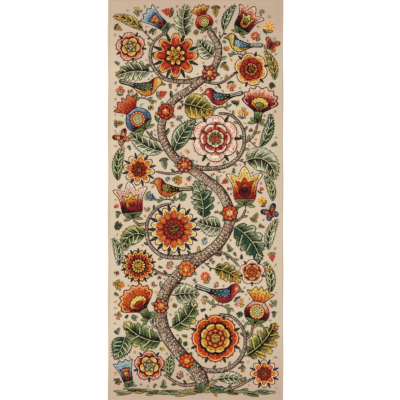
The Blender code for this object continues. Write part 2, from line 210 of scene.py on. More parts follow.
MOTIFS = [Motif(*row) for row in (
    ("rose_low_right", "rose_8", 92, -640, 0, 216, "flame"),
    ("aster_mid_left", "aster", -100, -136, 0, 220, "sun"),
    ("rose_mid_right", "rose_6", 92, 284, 0, 216, "blush"),
    ("star_top_left", "star", -92, 668, 0, 208, "flame"),
    ("pomegranate_low", "pomegranate", 274, -572, 11, 176, "wine"),
    ("tulip_left", "tulip", -289, -85, -6, 172, "coral"),
    ("carnation_right", "carnation", 285, 357, 8, 170, "wine"),
    ("pomegranate_top", "pomegranate", 51, 787, -17, 124, "flame"),
    ("carnation_left", "carnation", -214, -552, -34, 176, "rust"),
    ("tulip_right", "tulip", 229, -25, -1, 182, "sun"),
    ("pomegranate_left", "pomegranate", -232, 327, -37, 184, "blue"),
    ("rose_right", "rose_5", 262, -334, 0, 116, "coral"),
    ("aster_left", "aster", -264, -305, 12, 150, "flame"),
    ("star_left", "star", -261, 141, 9, 148, "sun"),
    ("rose_top_right", "rose_6", 257, 605, -13, 152, "sun"),
    ("bell_top", "bell", -126, 790, -53, 136, "blue"),
    ("rose_low_left", "rose_5", -214, -767, 0, 138, "wine"),
    ("star_low_right", "star", 318, -804, 0, 132, "sun"),
    ("tulip_top", "tulip", 200, 773, 32, 144, "wine"),
    ("bell_low", "bell", -304, -863, -16, 128, "blue"),
    ("rose_top_left", "rose_5", -300, 709, -10, 134, "wine"),
    ("leaf_01", "lobed_leaf", -164, -653, -87, 196, "fern"),
    ("leaf_02", "oak_leaf", 240, -719, 61, 206, "gilded"),
    ("leaf_03", "heart_leaf", -94, -440, 78, 114, "sage"),
    ("leaf_04", "paisley_leaf", -236, -166, -60, 146, "fern", -1),
    ("leaf_05", "lobed_leaf", 181, -129, 118, 204, "holly"),
    ("leaf_06", "slim_leaf", 346, -426, 12, 148, "fern"),
    ("leaf_07", "oak_leaf", 38, -79, 6, 178, "holly"),
    ("leaf_08", "paisley_leaf", 239, 179, 58, 192, "sage"),
    ("leaf_10", "heart_leaf", -49, 443, 98, 142, "gilded"),
    ("leaf_11", "oak_leaf", -212, 593, -77, 162, "sage"),
    ("leaf_13", "slim_leaf", 132, 786, 2, 130, "holly", -1),
    ("leaf_14", "slim_leaf", -246, 787, -43, 156, "gilded"),
    ("leaf_15", "leaf", -156, 227, -80, 174, "sage"),
    ("leaf_16", "leaf", -118, -816, -14, 102, "fern"),
    ("leaf_17", "leaf", 106, -828, 74, 124, "sage"),
    ("leaf_18", "lobed_leaf", 90, -319, 94, 140, "gilded"),
    ("leaf_19", "slim_leaf", -357, -303, 11, 134, "sage"),
    ("leaf_20", "slim_leaf", 300, 250, 40, 162, "holly"),
    ("leaf_21", "heart_leaf", -329, -637, 195, 112, "holly"),
    ("leaf_22", "lobed_leaf", -44, 762, -22, 148, "sage"),
    ("leaf_23", "slim_leaf", 365, 557, 4, 148, "gilded"),
    ("leaf_24", "slim_leaf", 339, -230, -6, 154, "sage", -1),
    ("leaf_25", "slim_leaf", -356, 92, -14, 166, "fern", -1),
    ("leaf_26", "slim_leaf", 356, -4, 5, 128, "fern"),
    ("leaf_27", "leaf", -93, 230, 14, 174, "holly"),
    ("leaf_28", "lobed_leaf", -105, -586, 66, 166, "fern", -1),
    ("leaf_29", "heart_leaf", 114, -128, -85, 110, "sage"),
    ("leaf_30", "heart_leaf", 77, 669, -52, 100, "sage"),
    ("bird_low", "songbird", 108, -446, 14, 220, "bluebird"),
    ("bird_mid", "songbird", -115, 37, 0, 194, "robin", -1),
    ("bird_high", "songbird", 125, 464, -9, 186, "bluebird", -1),
    ("bird_left", "songbird", -248, 510, 12, 208, "scarlet"),
    ("bird_top", "songbird", 216, 706, 4, 180, "finch", -1),
    ("butterfly_top", "butterfly", 348, 712, 24, 72, "sun"),
    ("butterfly_left", "butterfly", -337, 283, -34, 76, "coral"),
    ("butterfly_right", "butterfly", 350, -64, -30, 78, "blue"),
)]


def ray(turn):
    """A unit step at a turn clockwise from +Y, in radians."""
    return np.array([math.sin(turn), math.cos(turn)])


def rays(turns):
    return np.c_[np.sin(turns), np.cos(turns)]


def right_of(ways):
    return np.c_[ways[:, 1], -ways[:, 0]]


def spline(points, steps, closed=False):
    """A Catmull-Rom curve through points, with the given number of steps in each span."""
    p = np.asarray(points, float)
    if closed:
        p = np.vstack([p[-1], p, p[0], p[1]])
    else:
        p = np.vstack([2 * p[0] - p[1], p, 2 * p[-1] - p[-2]])
    t = np.linspace(0, 1, steps, endpoint=False)[:, None]
    spans = []
    for a, b, c, d in zip(p[:-3], p[1:-2], p[2:-1], p[3:]):
        square = (2 * a - 5 * b + 4 * c - d) * t**2
        cube = (3 * b - a - 3 * c + d) * t**3
        spans.append(0.5 * (2 * b + (c - a) * t + square + cube))
    curve = np.vstack(spans)
    return curve if closed else np.vstack([curve, p[-2]])


def distances_along(path):
    return np.concatenate([[0], np.cumsum(np.linalg.norm(np.diff(path, axis=0), axis=1))])


def spots_at(marks, run, values):
    """The values of a path's points, read at distances along it."""
    return np.c_[np.interp(marks, run, values[:, 0]), np.interp(marks, run, values[:, 1])]


def directions(path):
    """At each point of a path, the way along it and the way to its right."""
    way = np.gradient(path, axis=0)
    way /= np.linalg.norm(way, axis=1)[:, None]
    return way, right_of(way)


def band(path, side, half):
    """The outline of a strip along a path."""
    return np.vstack([path + side * half, (path - side * half)[::-1]])


def circle(radius, count=48, centre=(0, 0)):
    return rays(np.linspace(0, TAU, count, endpoint=False)) * radius + centre


def scaled(outline, share, about):
    about = np.asarray(about, float)
    return about + (outline - about) * share


def turned(points, x, y, turn, flip=1):
    """Points turned clockwise from +Y, in degrees, and moved to their place."""
    turn = math.radians(turn)
    px, py = points[:, 0] * flip, points[:, 1]
    return np.c_[px * math.cos(turn) + py * math.sin(turn) + x, py * math.cos(turn) - px * math.sin(turn) + y]


Ring = namedtuple("Ring", "petals notch sharpness points", defaults=(14,))
RINGS = {
    "rose_8": Ring(8, 0.16, 0.55), "rose_6": Ring(6, 0.22, 0.55), "rose_5": Ring(5, 0.26, 0.6),
    "aster": Ring(14, 0.30, 1.2, 10), "star": Ring(8, 0.42, 1.1),
}


def petal_ring(petals, notch, sharpness, points=14):
    """The outline of an open blossom, with a notch between each two petals."""
    angle = np.linspace(0, TAU, petals * points, endpoint=False)
    radius = 0.5 * (1 - notch * (1 - np.abs(np.cos(petals * angle / 2)) ** sharpness))
    return rays(angle) * radius[:, None]


def mirrored(half):
    half = np.asarray(half, float)
    return spline(np.vstack([half, half[-2:0:-1] * [-1, 1]]), 4, closed=True)


Leaf = namedtuple("Leaf", "width bend lobes cut fullness")
LEAVES = {
    "leaf": Leaf(0.42, 0.7, 0, 0, 0.8),
    "slim_leaf": Leaf(0.26, -0.8, 0, 0, 0.8),
    "lobed_leaf": Leaf(0.62, 0.9, 5, 0.45, 0.75),
    "oak_leaf": Leaf(0.60, -0.7, 6, 0.55, 0.8),
    "paisley_leaf": Leaf(0.55, 2.4, 0, 0, 0.62),
    "heart_leaf": Leaf(0.80, 0.35, 0, 0, 0.60),
}


def bent(along, across, bend):
    """Where a point along and across a straight unit leaf goes when its midrib is bent."""
    heading = bend * along
    x = (1 - np.cos(heading)) / bend + across * np.cos(heading)
    y = np.sin(heading) / bend - across * np.sin(heading)
    return np.c_[x, y]


def leaf_half(t, leaf, lobes):
    """Half the width of a unit leaf at shares of its length."""
    half = 0.5 * leaf.width * np.sin(np.pi * np.clip(t, 0, 1) ** leaf.fullness) ** 0.85
    if lobes:
        half = half * (1 - leaf.cut * (1 - np.abs(np.sin(lobes * np.pi * t)) ** 0.8))
    return half + 0.006 * (1 - t)


def leaf_outline(leaf):
    t = np.linspace(0, 1, 61)
    half = leaf_half(t, leaf, leaf.lobes)
    return np.vstack([bent(t, half, leaf.bend), bent(t, -half, leaf.bend)[-2:0:-1]])


OUTLINES = {"songbird": spline(SONGBIRD, 4, closed=True)}
OUTLINES.update((kind, petal_ring(*ring)) for kind, ring in RINGS.items())
OUTLINES.update((kind, mirrored(half)) for kind, half in HALVES.items())
OUTLINES.update((kind, leaf_outline(leaf)) for kind, leaf in LEAVES.items())


def inside(points, outline):
    """Which points lie inside a closed outline."""
    a, b = outline, np.roll(outline, -1, axis=0)
    x, y = points[:, :1], points[:, 1:]
    spans = (a[:, 1] > y) != (b[:, 1] > y)
    rise = b[:, 1] - a[:, 1]
    slope = (b[:, 0] - a[:, 0]) / np.where(rise == 0, 1, rise)
    return (spans & (x < a[:, 0] + (y - a[:, 1]) * slope)).sum(1) % 2 == 1


def meets(points, outlines):
    return any(inside(points, outline).any() for outline in outlines)


def within(left=-1, right=1, low=-1, high=1):
    """A test for points between these bounds, in metres."""
    return lambda p: (p[:, 0] > left) & (p[:, 0] <= right) & (p[:, 1] > low) & (p[:, 1] <= high)


def distance(points, outline):
    """How far each point is from a closed outline."""
    a = outline
    run = np.roll(outline, -1, axis=0) - a
    square = np.maximum((run**2).sum(1), 1e-12)
    off = points[:, None] - a
    t = np.clip((off * run).sum(2) / square, 0, 1)
    return np.sqrt(((off - t[..., None] * run) ** 2).sum(2).min(1))


def yarn(name):
    """A yarn's colour in linear light."""
    value = np.array(YARNS[name]) / 255
    return np.where(value < 0.04045, value / 12.92, ((value + 0.055) / 1.055) ** 2.4)


# The columns of a laid row
START, END, COLOUR = slice(0, 2), slice(2, 4), slice(4, 7)
WIDTH, BASE, HEIGHT, COLUMNS = 7, 8, 9, 10

# A form's points are (across, along, up) in shares of its width, length and height.
Form = namedtuple("Form", "points faces")


def stitch_form():
    """One strand lying on the cloth, its two ends going down into it."""
    arch = ((-0.5, 0), (0, 1), (0.5, 0))
    points = [(0, 0, -0.3)] + [(x, along, up) for along in (0.2, 0.8) for x, up in arch] + [(0, 1, -0.3)]
    return Form(np.array(points), [(0, 2, 1), (0, 3, 2), (7, 4, 5), (7, 5, 6), (1, 2, 5, 4), (2, 3, 6, 5)])


def knot_form(sides=6):
    """A small round knot with a dimple in its top."""
    angle = np.linspace(0, TAU, sides, endpoint=False)
    ring = np.c_[0.5 * np.cos(angle), 0.5 + 0.5 * np.sin(angle)]
    middle = np.array([0, 0.5])
    points = [np.c_[ring, 0 * angle], np.c_[middle + (ring - middle) * 0.66, 1 + 0 * angle], [[0, 0.5, 0.8]]]
    faces = []
    for k in range(sides):
        n = (k + 1) % sides
        faces += [(k, n, n + sides, k + sides), (k + sides, n + sides, 2 * sides)]
    return Form(np.vstack(points), faces)


FORMS = {"stitch": stitch_form(), "knot": knot_form()}


class Work:
    """The wool of one piece, gathered in the place where it is worked."""

    def __init__(self, seed):
        self.rng = np.random.default_rng(seed)
        self.laid = {form: [] for form in FORMS}
        self.pads = []
        self.place = (0, 0, 0, 1)
        self.lift = 0

    def lay(self, start, end, colour, width=YARN, base=STITCH_BASE, height=STITCH_HEIGHT, form="stitch"):
        """Lays strands from their starts to their ends."""
        count = len(start)
        if not count:
            return
        rows = np.empty((count, COLUMNS))
        rows[:, START] = turned(start, *self.place)
        rows[:, END] = turned(end, *self.place)
        rows[:, COLOUR] = colour * (1 + VARIED[0] * self.rng.normal(size=(count, 1)))
        rows[:, WIDTH] = width * (1 + VARIED[1] * self.rng.normal(size=count))
        rows[:, BASE] = base + self.lift
        rows[:, HEIGHT] = height * (1 + VARIED[2] * self.rng.normal(size=count))
        self.laid[form].append(rows)

    def shades(self, ramp, t):
        """Picks a yarn for each stitch, from the first of the ramp at 0 to the last at 1."""
        colours = np.array([yarn(name) for name in ramp])
        step = np.floor(t * len(ramp) + 0.28 * self.rng.normal(size=len(t)))
        return colours[np.clip(step, 0, len(ramp) - 1).astype(int)]

    def pad(self, outline, name):
        """The padding under the stitches, which closes the gaps between them; the mesh darkens its yarn as
        painted shade in those gaps.
        """
        self.pads.append((turned(outline, *self.place), yarn(name)))

    def knots(self, points, names, size, up=0):
        points = np.asarray(points, float).reshape(-1, 2)
        colours = self.shades(names, self.rng.uniform(0, 1, len(points)))
        half = np.array([0, size / 2])
        self.lay(points - half, points + half, colours, size, STITCH_BASE + up, KNOT_HEIGHT, "knot")

    def line(self, path, name, width=LINE_WIDTH, closed=False, base=LINE_BASE, step=LINE_STEP,
             height=LINE_HEIGHT):
        """A line of stem stitch: each strand starts beside the middle of the last."""
        path = np.asarray(path, float)
        if closed:
            path = np.vstack([path, path[:1]])
        run = distances_along(path)
        count = max(1, round(run[-1] / step))
        marks = np.linspace(0, run[-1], count + 1)
        overlap = 0.3 * run[-1] / count
        ends = [np.clip(marks[:-1] - overlap, 0, run[-1]), np.clip(marks[1:] + overlap, 0, run[-1])]
        start, end = (spots_at(marks, run, path) for marks in ends)
        way = end - start
        way /= np.maximum(np.linalg.norm(way, axis=1), 1e-9)[:, None]
        side = right_of(way) * width * 0.16
        colours = yarn(name) if isinstance(name, str) else self.shades(name, self.rng.uniform(0, 1, count))
        self.lay(start + side, end - side, colours, width, base, height)

    def detail(self, path, name, width=LINE_WIDTH, **how):
        """A line lying over other stitches."""
        self.line(path, name, width, base=DETAIL_BASE, **how)

    def keep(self, start, end, outline, without=(), where=None, samples=12):
        """Shortens each strand to its first stretch inside the outline, and says which have one."""
        share = np.linspace(0, 1, samples)
        points = (start[:, None] + (end - start)[:, None] * share[:, None]).reshape(-1, 2)
        good = inside(points, outline)
        for other in without:
            good &= ~inside(points, other)
        if where is not None:
            good &= where(points)
        good = good.reshape(-1, samples)
        first = good.argmax(1)
        after = (~good) & (np.arange(samples) > first[:, None])
        last = np.where(after.any(1), after.argmax(1), samples) - 1
        kept = good.any(1) & (last - first >= 1)
        way = end - start
        return (start + way * share[first][:, None])[kept], (start + way * share[last][:, None])[kept], kept

    def fill(self, outline, ramp, focus=(0, 0), without=(), where=None, row=LONG):
        """Long-and-short stitches in rows round a focus, inside one outline and outside others."""
        focus = np.asarray(focus, float)
        off = outline - focus
        reach = np.hypot(*off.T)
        middle = outline.mean(0) - focus
        axis = math.atan2(middle[0], middle[1])
        near, spread = 0.0, math.pi
        if not inside(focus[None], outline)[0]:
            near = reach.min()
            lean = np.arctan2(off[:, 0], off[:, 1]) - axis
            spread = np.abs((lean + math.pi) % TAU - math.pi).max()
        starts, ends = [], []
        for low in np.arange(near - 0.5 * row, reach.max(), row):
            count = max(3, int(2 * spread * (low + 0.5 * row) / PITCH))
            angle = axis + spread * (2 * (np.arange(count) + self.rng.uniform(0, 1)) / count - 1)
            near_end = np.maximum(low - self.rng.uniform(0, UNEVEN, count) * row, 0)
            far_end = low + row + self.rng.uniform(0, UNEVEN, count) * row
            starts.append(focus + rays(angle) * near_end[:, None])
            ends.append(focus + rays(angle) * far_end[:, None])
        start, end, _ = self.keep(np.vstack(starts), np.vstack(ends), outline, without, where)
        if not len(start):
            return
        away = (start + end) / 2 - focus
        far = np.hypot(*away.T)
        span = max(np.ptp(far), 1e-6)
        drift = np.sin(np.arctan2(*away.T) * 5 + self.rng.uniform(0, TAU))
        drift = drift + np.sin(far * 90 + self.rng.uniform(0, TAU))
        colours = self.shades(ramp, (far - far.min()) / span + 0.06 * drift)
        self.lay(start, end, colours * (1 + 0.05 * drift)[:, None])

    def fan(self, outline, name, focus, count, width, without=(), where=None):
        """Fine lines running out from a focus, inside one outline and outside others."""
        focus = np.asarray(focus, float)
        out = rays(TAU * (np.arange(count) + 0.5) / count)
        reach = np.hypot(*(outline - focus).T).max()
        shrunk = scaled(outline, 0.9, outline.mean(0))
        start, end, _ = self.keep(focus + 0 * out, focus + out * reach, shrunk, without, where, 40)
        for a, b in zip(start, end):
            if np.hypot(*(b - a)) > 6 * MM:
                self.detail([a, a + (b - a) * self.rng.uniform(0.7, 1)], name, width, step=9 * MM)

    def lattice(self, outline, name, centre):
        """Long threads laid across each other, with a tie stitch where they cross."""
        reach = np.ptp(outline, axis=0).max() * 0.75
        steps = np.arange(-reach, reach, LATTICE_SPACING)
        for turn in (45, -45):
            start = turned(np.c_[steps, 0 * steps - reach], *centre, turn)
            end = turned(np.c_[steps, 0 * steps + reach], *centre, turn)
            start, end, _ = self.keep(start, end, outline, samples=90)
            self.lay(start, end, yarn(name), 1.4 * MM, STITCH_BASE + LATTICE_UP, 0.7 * MM)
        grid = np.stack(np.meshgrid(steps, steps), -1).reshape(-1, 2)
        crossings = turned(grid, *centre, 45)
        self.knots(crossings[inside(crossings, outline)], (name,), 1.8 * MM, LATTICE_UP + 0.2 * MM)

    def eye(self, outline, names):
        """Knots packed inside an outline."""
        low, high = outline.min(0), outline.max(0)
        xs = np.arange(low[0], high[0], EYE_SPACING)
        ys = np.arange(low[1], high[1], EYE_SPACING * 0.87)
        grid = np.stack(np.meshgrid(xs, ys), -1)
        grid[1::2, :, 0] += EYE_SPACING / 2
        grid = grid.reshape(-1, 2)
        grid = grid + self.rng.normal(0, 0.12 * EYE_SPACING, grid.shape)
        self.knots(grid[inside(grid, outline)], names, 3.8 * MM, 0.4 * MM)

    def strands(self, form, rows):
        """Stamps a form on each laid row: its points, their yarn darkened towards the foot as painted shade,
        and their place in the twist.
        """
        count, size = len(rows), len(form.points)
        way = rows[:, END] - rows[:, START]
        length = np.maximum(np.linalg.norm(way, axis=1), 1e-9)
        side = right_of(way) / length[:, None]
        across, along, up = form.points.T
        spot = np.empty((count, size, 3))
        spot[:, :, :2] = rows[:, None, START] + way[:, None] * along[:, None]
        spot[:, :, :2] += side[:, None] * (across[None, :] * rows[:, WIDTH, None])[:, :, None]
        spot[:, :, 2] = rows[:, BASE, None] + up * rows[:, HEIGHT, None]
        colour = np.ones((count, size, 4))
        # Painted shade: each point's yarn is darkened towards the strand's foot, down to 0.72 where it meets
        # the cloth.
        colour[:, :, :3] = rows[:, None, COLOUR] * (0.72 + 0.28 * np.clip(up, 0, 1) ** 0.5)[:, None]
        twist = np.empty((count, size, 3))
        twist[:, :, 0] = along * length[:, None] + 0.37 * np.arange(count)[:, None] % 1
        twist[:, :, 1] = across * rows[:, WIDTH, None]
        twist[:, :, 2] = 0.013 * np.arange(count)[:, None]
        return spot.reshape(-1, 3), colour.reshape(-1, 4), twist.reshape(-1, 3)

    def mesh(self, name, keep=None):
        """All the strands, knots and pads as one mesh, with each one's yarn and its painted shade on its
        points.
        """
        points, colours, twists, loops, totals = [], [], [], [], []
        offset = 0
        for form_name, batches in self.laid.items():
            rows = np.vstack(batches) if batches else np.empty((0, COLUMNS))
            if keep is not None:
                rows = rows[keep((rows[:, START] + rows[:, END]) / 2)]
            if not len(rows):
                continue
            form = FORMS[form_name]
            for gathered, part in zip((points, colours, twists), self.strands(form, rows)):
                gathered.append(part)
            base = offset + len(form.points) * np.arange(len(rows))[:, None]
            for face in form.faces:
                loops.append((base + np.array(face)).reshape(-1))
                totals.append(np.full(len(rows), len(face)))
            offset += len(rows) * len(form.points)
        for outline, shade in self.pads:
            if keep is not None and not keep(outline).any():
                continue
            count = len(outline)
            ahead = np.roll(outline, -1, axis=0)
            if np.sum(outline[:, 0] * ahead[:, 1] - outline[:, 1] * ahead[:, 0]) < 0:
                outline = outline[::-1]
            points += [np.c_[outline, np.full(count, z)] for z in (0.5 * LINEN, PAD_TOP)]
            # Painted shade: the pad's yarn is darkened to 0.55, standing for the shade in the gaps between
            # strands.
            colours.append(np.tile(np.r_[shade * 0.55, 1], (2 * count, 1)))
            twists.append(np.zeros((2 * count, 3)))
            ring = np.arange(count)
            follow = (ring + 1) % count
            walls = np.c_[ring, follow, follow + count, ring + count] + offset
            loops += [walls.reshape(-1), ring + count + offset, ring[::-1] + offset]
            totals += [np.full(count, 4), np.array([count, count])]
            offset += 2 * count
        mesh = bpy.data.meshes.new(name)
        points, loops, totals = np.vstack(points), np.concatenate(loops), np.concatenate(totals)
        mesh.vertices.add(len(points))
        mesh.vertices.foreach_set("co", points.ravel())
        mesh.loops.add(len(loops))
        mesh.loops.foreach_set("vertex_index", loops)
        mesh.polygons.add(len(totals))
        mesh.polygons.foreach_set("loop_start", np.concatenate([[0], np.cumsum(totals)[:-1]]))
        mesh.polygons.foreach_set("loop_total", totals)
        mesh.polygons.foreach_set("use_smooth", np.ones(len(totals), bool))
        mesh.update(calc_edges=True)
        mesh.validate()
        # The wool colours carry each yarn together with its painted shade.
        mesh.color_attributes.new("wool", "FLOAT_COLOR", "POINT")
        mesh.color_attributes["wool"].data.foreach_set("color", np.clip(np.vstack(colours), 0, 1).ravel())
        mesh.attributes.new("twist", "FLOAT_VECTOR", "POINT")
        mesh.attributes["twist"].data.foreach_set("vector", np.vstack(twists).ravel())
        return mesh


def blade(work, base, heading, length, width, ramp, pointed=True):
    """A small leaf or petal of strands in staggered rows; a wide leaf has the first yarn round its edge."""
    base = np.asarray(base, float)
    lanes = max(2, round(width / (1.9 * MM)))
    rows = max(1, round(length / (9 * MM)))
    way, side = ray(math.radians(heading)), ray(math.radians(heading + 90))
    edged = pointed and width > 6.5 * MM

    def at(t, u):
        half = np.sin(np.pi * np.clip(t, 0.05, 0.97) ** 0.8) ** 0.7 if pointed else 0.42 + 0.58 * t**0.7
        return base + way * (t * length)[:, None] + side * (u * half * width / 2)[:, None]

    u = (np.arange(lanes) + 0.5) / lanes * 2 - 1
    low, high = (0.04 + 0.10 * u**2, 1 - 0.16 * u**2) if pointed else (0.05 * u**2, 1 - 0.22 * u**2)
    marks = []
    for k in range(rows + 1):
        uneven = work.rng.uniform(-0.35, 0.35, lanes) * (0 < k < rows)
        marks.append(low + (high - low) * np.clip(k + uneven, 0, rows) / rows)
    tone = np.clip((u + 1) / 2, 0, 0.99)
    for start, end in zip(marks[:-1], marks[1:]):
        colours = work.shades(ramp[1:] if edged else ramp, tone)
        work.lay(at(np.maximum(start - 0.02, 0), u), at(end, u), colours, width=2.5 * MM)
    if edged:
        t = np.linspace(0, 1, 7)
        for edge in (1, -1):
            work.line(at(t, np.full(7, edge)), ramp[0], 2.4 * MM)


# Painters: each works one kind of motif in its own frame, in metres, base or centre at the origin.

ROSE_RINGS = (1, 0.66, 0.40, 0.20)
OTHER_RINGS = (1, 0.46, 0.24)
SPROUT = ("ink", "leaf", "bright")


def work_round(work, motif, outline, dress):
    """Rings of petals, each turned half a petal from the last, round an eye of knots."""
    petals = RINGS[motif.kind].petals
    rose = motif.kind.startswith("rose")
    radius = motif.size * MM / 2
    notch = np.hypot(*outline.T).min() / radius
    shares = ROSE_RINGS if rose else OTHER_RINGS
    rings = [turned(outline * share, 0, 0, 180 / petals * k) for k, share in enumerate(shares)]
    for k in range(petals):
        turn = TAU * (k + 0.5) / petals
        foot, length = ray(turn) * notch * radius * 0.95, radius * (0.98 - 0.76 * notch)
        blade(work, foot, math.degrees(turn), length, 0.10 * radius + 3 * MM, ("ink", "forest"))
    bearings = np.arctan2(*outline.T)
    for turn in np.arange(0.5 / petals, 1, 1 / (4 * petals)) * TAU if rose else ():
        tip = outline[np.abs((bearings - turn + math.pi) % TAU - math.pi).argmin()]
        if np.hypot(*tip) > (0.4 + 0.6 * notch) * radius:
            blade(work, tip * 0.97, math.degrees(turn), 0.07 * radius + 4 * MM, 0.06 * radius + 3 * MM,
                  (dress.edge[-1], dress.outer[-2]))
    ramps = (dress.outer, dress.inner, dress.heart, dress.inner)
    for k, (ring, share, ramp) in enumerate(zip(rings, shares, ramps)):
        inner = shares[k + 1] if k + 1 < len(shares) else 0
        work.fill(ring, ramp, without=rings[k + 1:k + 2], row=max(6 * MM, 0.6 * (share - inner) * radius))
        if not inner:
            work.eye(ring, (dress.spot, "mustard", dress.line))
            continue
        reach = share * radius
        for petal in range(petals):
            gap, middle = (TAU * (petal + 0.5 * (1 - k % 2) + shift) / petals for shift in (0, 0.5))
            work.detail([ray(gap) * inner * radius, ray(gap) * notch * reach], dress.line, 4.4 * MM)
            if k == 0:
                for lean in (-0.24, 0.24):
                    out = ray(middle + lean * TAU / petals) * radius
                    work.detail([out * (inner + 0.05), out * 0.78], dress.outer[0], 3.4 * MM)
            work.knots([ray(middle) * reach * far for far in (0.86, 0.70)], (dress.spot,), 4.6 * MM, 0.7 * MM)
    for ring in rings[1:]:
        work.detail(ring, dress.line, 3.8 * MM, closed=True)
    work.detail(rings[0] * (1 - 5.2 * MM / radius), dress.rim, 3.4 * MM, closed=True)


CUP_TOPS = {"pomegranate": 0.13, "tulip": 0.16, "carnation": 0.30, "bell": 0.20}
NECK = 0.58


def work_side(work, motif, outline, dress):
    """A blossom seen from the side, flaring from below its base, with a green cup."""
    size = motif.size * MM
    focus = (0, -0.35 * size)
    cup = CUP_TOPS[motif.kind] * size
    if motif.kind == "pomegranate":
        work_fruit(work, outline, dress, size, focus, cup)
    else:
        work_trumpet(work, outline, dress, size, focus, cup)
    work.fill(outline, ("forest", "leaf", "bright"), focus, where=within(high=cup), row=8 * MM)
    work.fan(outline, "ink", focus, 110, 2.2 * MM, where=within(high=cup))
    half = np.abs(outline[np.abs(outline[:, 1] - cup) < 0.05 * size][:, 0]).max()
    work.detail([(-half, cup), (0, cup + 0.02 * size), (half, cup)], "ink", 3.2 * MM)
    for side in (1, -1):
        for heading, length in ((105, 0.24), (62, 0.20)):
            foot = (side * 0.03 * size, 0.02 * size)
            blade(work, foot, side * heading, length * size, 0.09 * size, SPROUT)


def work_fruit(work, outline, dress, size, focus, cup):
    """A pomegranate: its body round a trellised heart, and its crown above the neck."""
    centre, neck = (0, 0.32 * size), NECK * size
    heart, halo = (circle(share * size, centre=centre) for share in (0.13, 0.20))
    body, crown = within(low=cup, high=neck), within(low=neck)
    work.fill(outline, dress.outer, focus, [halo], body)
    work.fan(outline, dress.line, focus, 76, 3.6 * MM, [halo], body)
    work.fill(outline, dress.inner, focus, where=crown)
    work.fan(outline, dress.line, focus, 76, 2.8 * MM, where=crown)
    work.fill(halo, dress.inner[::-1], centre, [heart], row=6 * MM)
    work.fill(heart, ("cream", "yellow"), centre, row=8 * MM)
    work.lattice(heart, dress.line, centre)
    work.knots(circle(0.17 * size, 14, centre), (dress.spot,), 4.4 * MM, 0.7 * MM)
    work.detail(heart, dress.line, 2.8 * MM, closed=True)
    work.detail(halo, dress.line, 3.2 * MM, closed=True)
    work.detail([(-0.15 * size, neck), (0, neck + 0.01 * size), (0.15 * size, neck)], dress.line)


def work_trumpet(work, outline, dress, size, focus, cup):
    """An open blossom in three parts, one inside another, with a rim and a row of knots."""
    heart = scaled(outline, 0.5, (0, 0.42 * size))
    core = scaled(heart, 0.5, (0, 0.42 * size))
    above = within(low=cup)
    work.fill(outline, dress.outer, focus, [heart], above)
    work.fill(heart, dress.inner, focus, [core], above)
    work.fill(core, dress.heart, focus, where=above, row=7 * MM)
    work.fan(outline, dress.line, focus, 72, 3.6 * MM, [heart], above)
    work.fan(heart, dress.line, focus, 84, 2.2 * MM, [core], above)
    for part, width in ((heart, 3.4 * MM), (core, 2.8 * MM)):
        work.detail(part[part[:, 1] > cup], dress.line, width)
    rim, dots = (scaled(outline, share, (0, 0.55 * size)) for share in (0.90, 0.80))
    work.detail(rim[rim[:, 1] > 0.45 * size], dress.rim, 3.4 * MM)
    dots = dots[::3]
    work.knots(dots[dots[:, 1] > 0.6 * size], (dress.spot,), 4.4 * MM, 0.7 * MM)


def work_leaf(work, motif, outline, dress):
    """Slanted stitches from the midrib, each half in its own yarns, with a turning tip, veins and teeth."""
    leaf = LEAVES[motif.kind]
    size = motif.size * MM
    row, slant = 9 * MM, 0.75
    half_width = 0.5 * leaf.width * size
    along = np.arange(-0.4 * size, size, PITCH * 1.25)
    turning = work.rng.uniform(0.62, 0.95)

    def at(t, across):
        return bent(t, across, leaf.bend) * size

    for side, ramp in ((1, dress.outer), (-1, dress.inner)):
        for low in np.arange(0, half_width + 2 * MM, row):
            a = along + work.rng.uniform(0, PITCH)
            b0 = np.maximum(low - work.rng.uniform(0, 0.3, len(a)) * row, 0)
            b1 = low + row * (1 + work.rng.uniform(0, 0.3, len(a)))
            start, end = (at((a + slant * b) / size, side * b / size) for b in (b0, b1))
            start, end, kept = work.keep(start, end, outline)
            share = np.clip(((b0 + b1) / 2 / max(half_width, row))[kept], 0, 1)
            tip = ((a + slant * b0) / size)[kept] + 0.06 * work.rng.normal(size=len(start)) > turning
            colours = work.shades(ramp, share)
            colours[tip] = work.shades(dress.heart, share)[tip]
            work.lay(start, end, colours)
    t = np.linspace(0, 0.96, 14)
    work.detail(at(t, 0 * t), dress.line, 4 * MM)
    work.detail(at(t, 0 * t - 0.02), dress.spot, 2.4 * MM)
    spread = 0.7 / leaf.lobes if leaf.lobes else 0.09
    for number, t0 in enumerate(np.arange(0.06, 0.86, spread)):
        reach = leaf_half(np.array([t0 + 0.12]), leaf, 0)[0] * (0.86 if number % 2 else 0.6)
        dark = np.array([(0, 0), (0.05, reach * 0.5), (0.12, reach)])
        light = np.array([(0.035, 0.1 * reach), (0.10, 0.55 * reach), (0.15, 0.85 * reach)])
        for side in (1, -1):
            work.detail(at(t0 + dark[:, 0], side * dark[:, 1]), dress.line, 3.6 * MM, step=6 * MM)
            if number % 2:
                work.detail(at(t0 + light[:, 0], side * light[:, 1]), dress.spot, 3.0 * MM, step=6 * MM)
    tooth = (10 if leaf.lobes else 13) * MM, 6.4 * MM, (dress.edge[0], dress.outer[1])
    for t0 in np.arange(0.10, 0.94, 12 * MM / size):
        for side in (1, -1):
            foot = at(np.array([t0]), side * leaf_half(np.array([t0]), leaf, leaf.lobes) * 0.97)[0]
            blade(work, foot, math.degrees(leaf.bend * t0) + side * 26, *tooth)


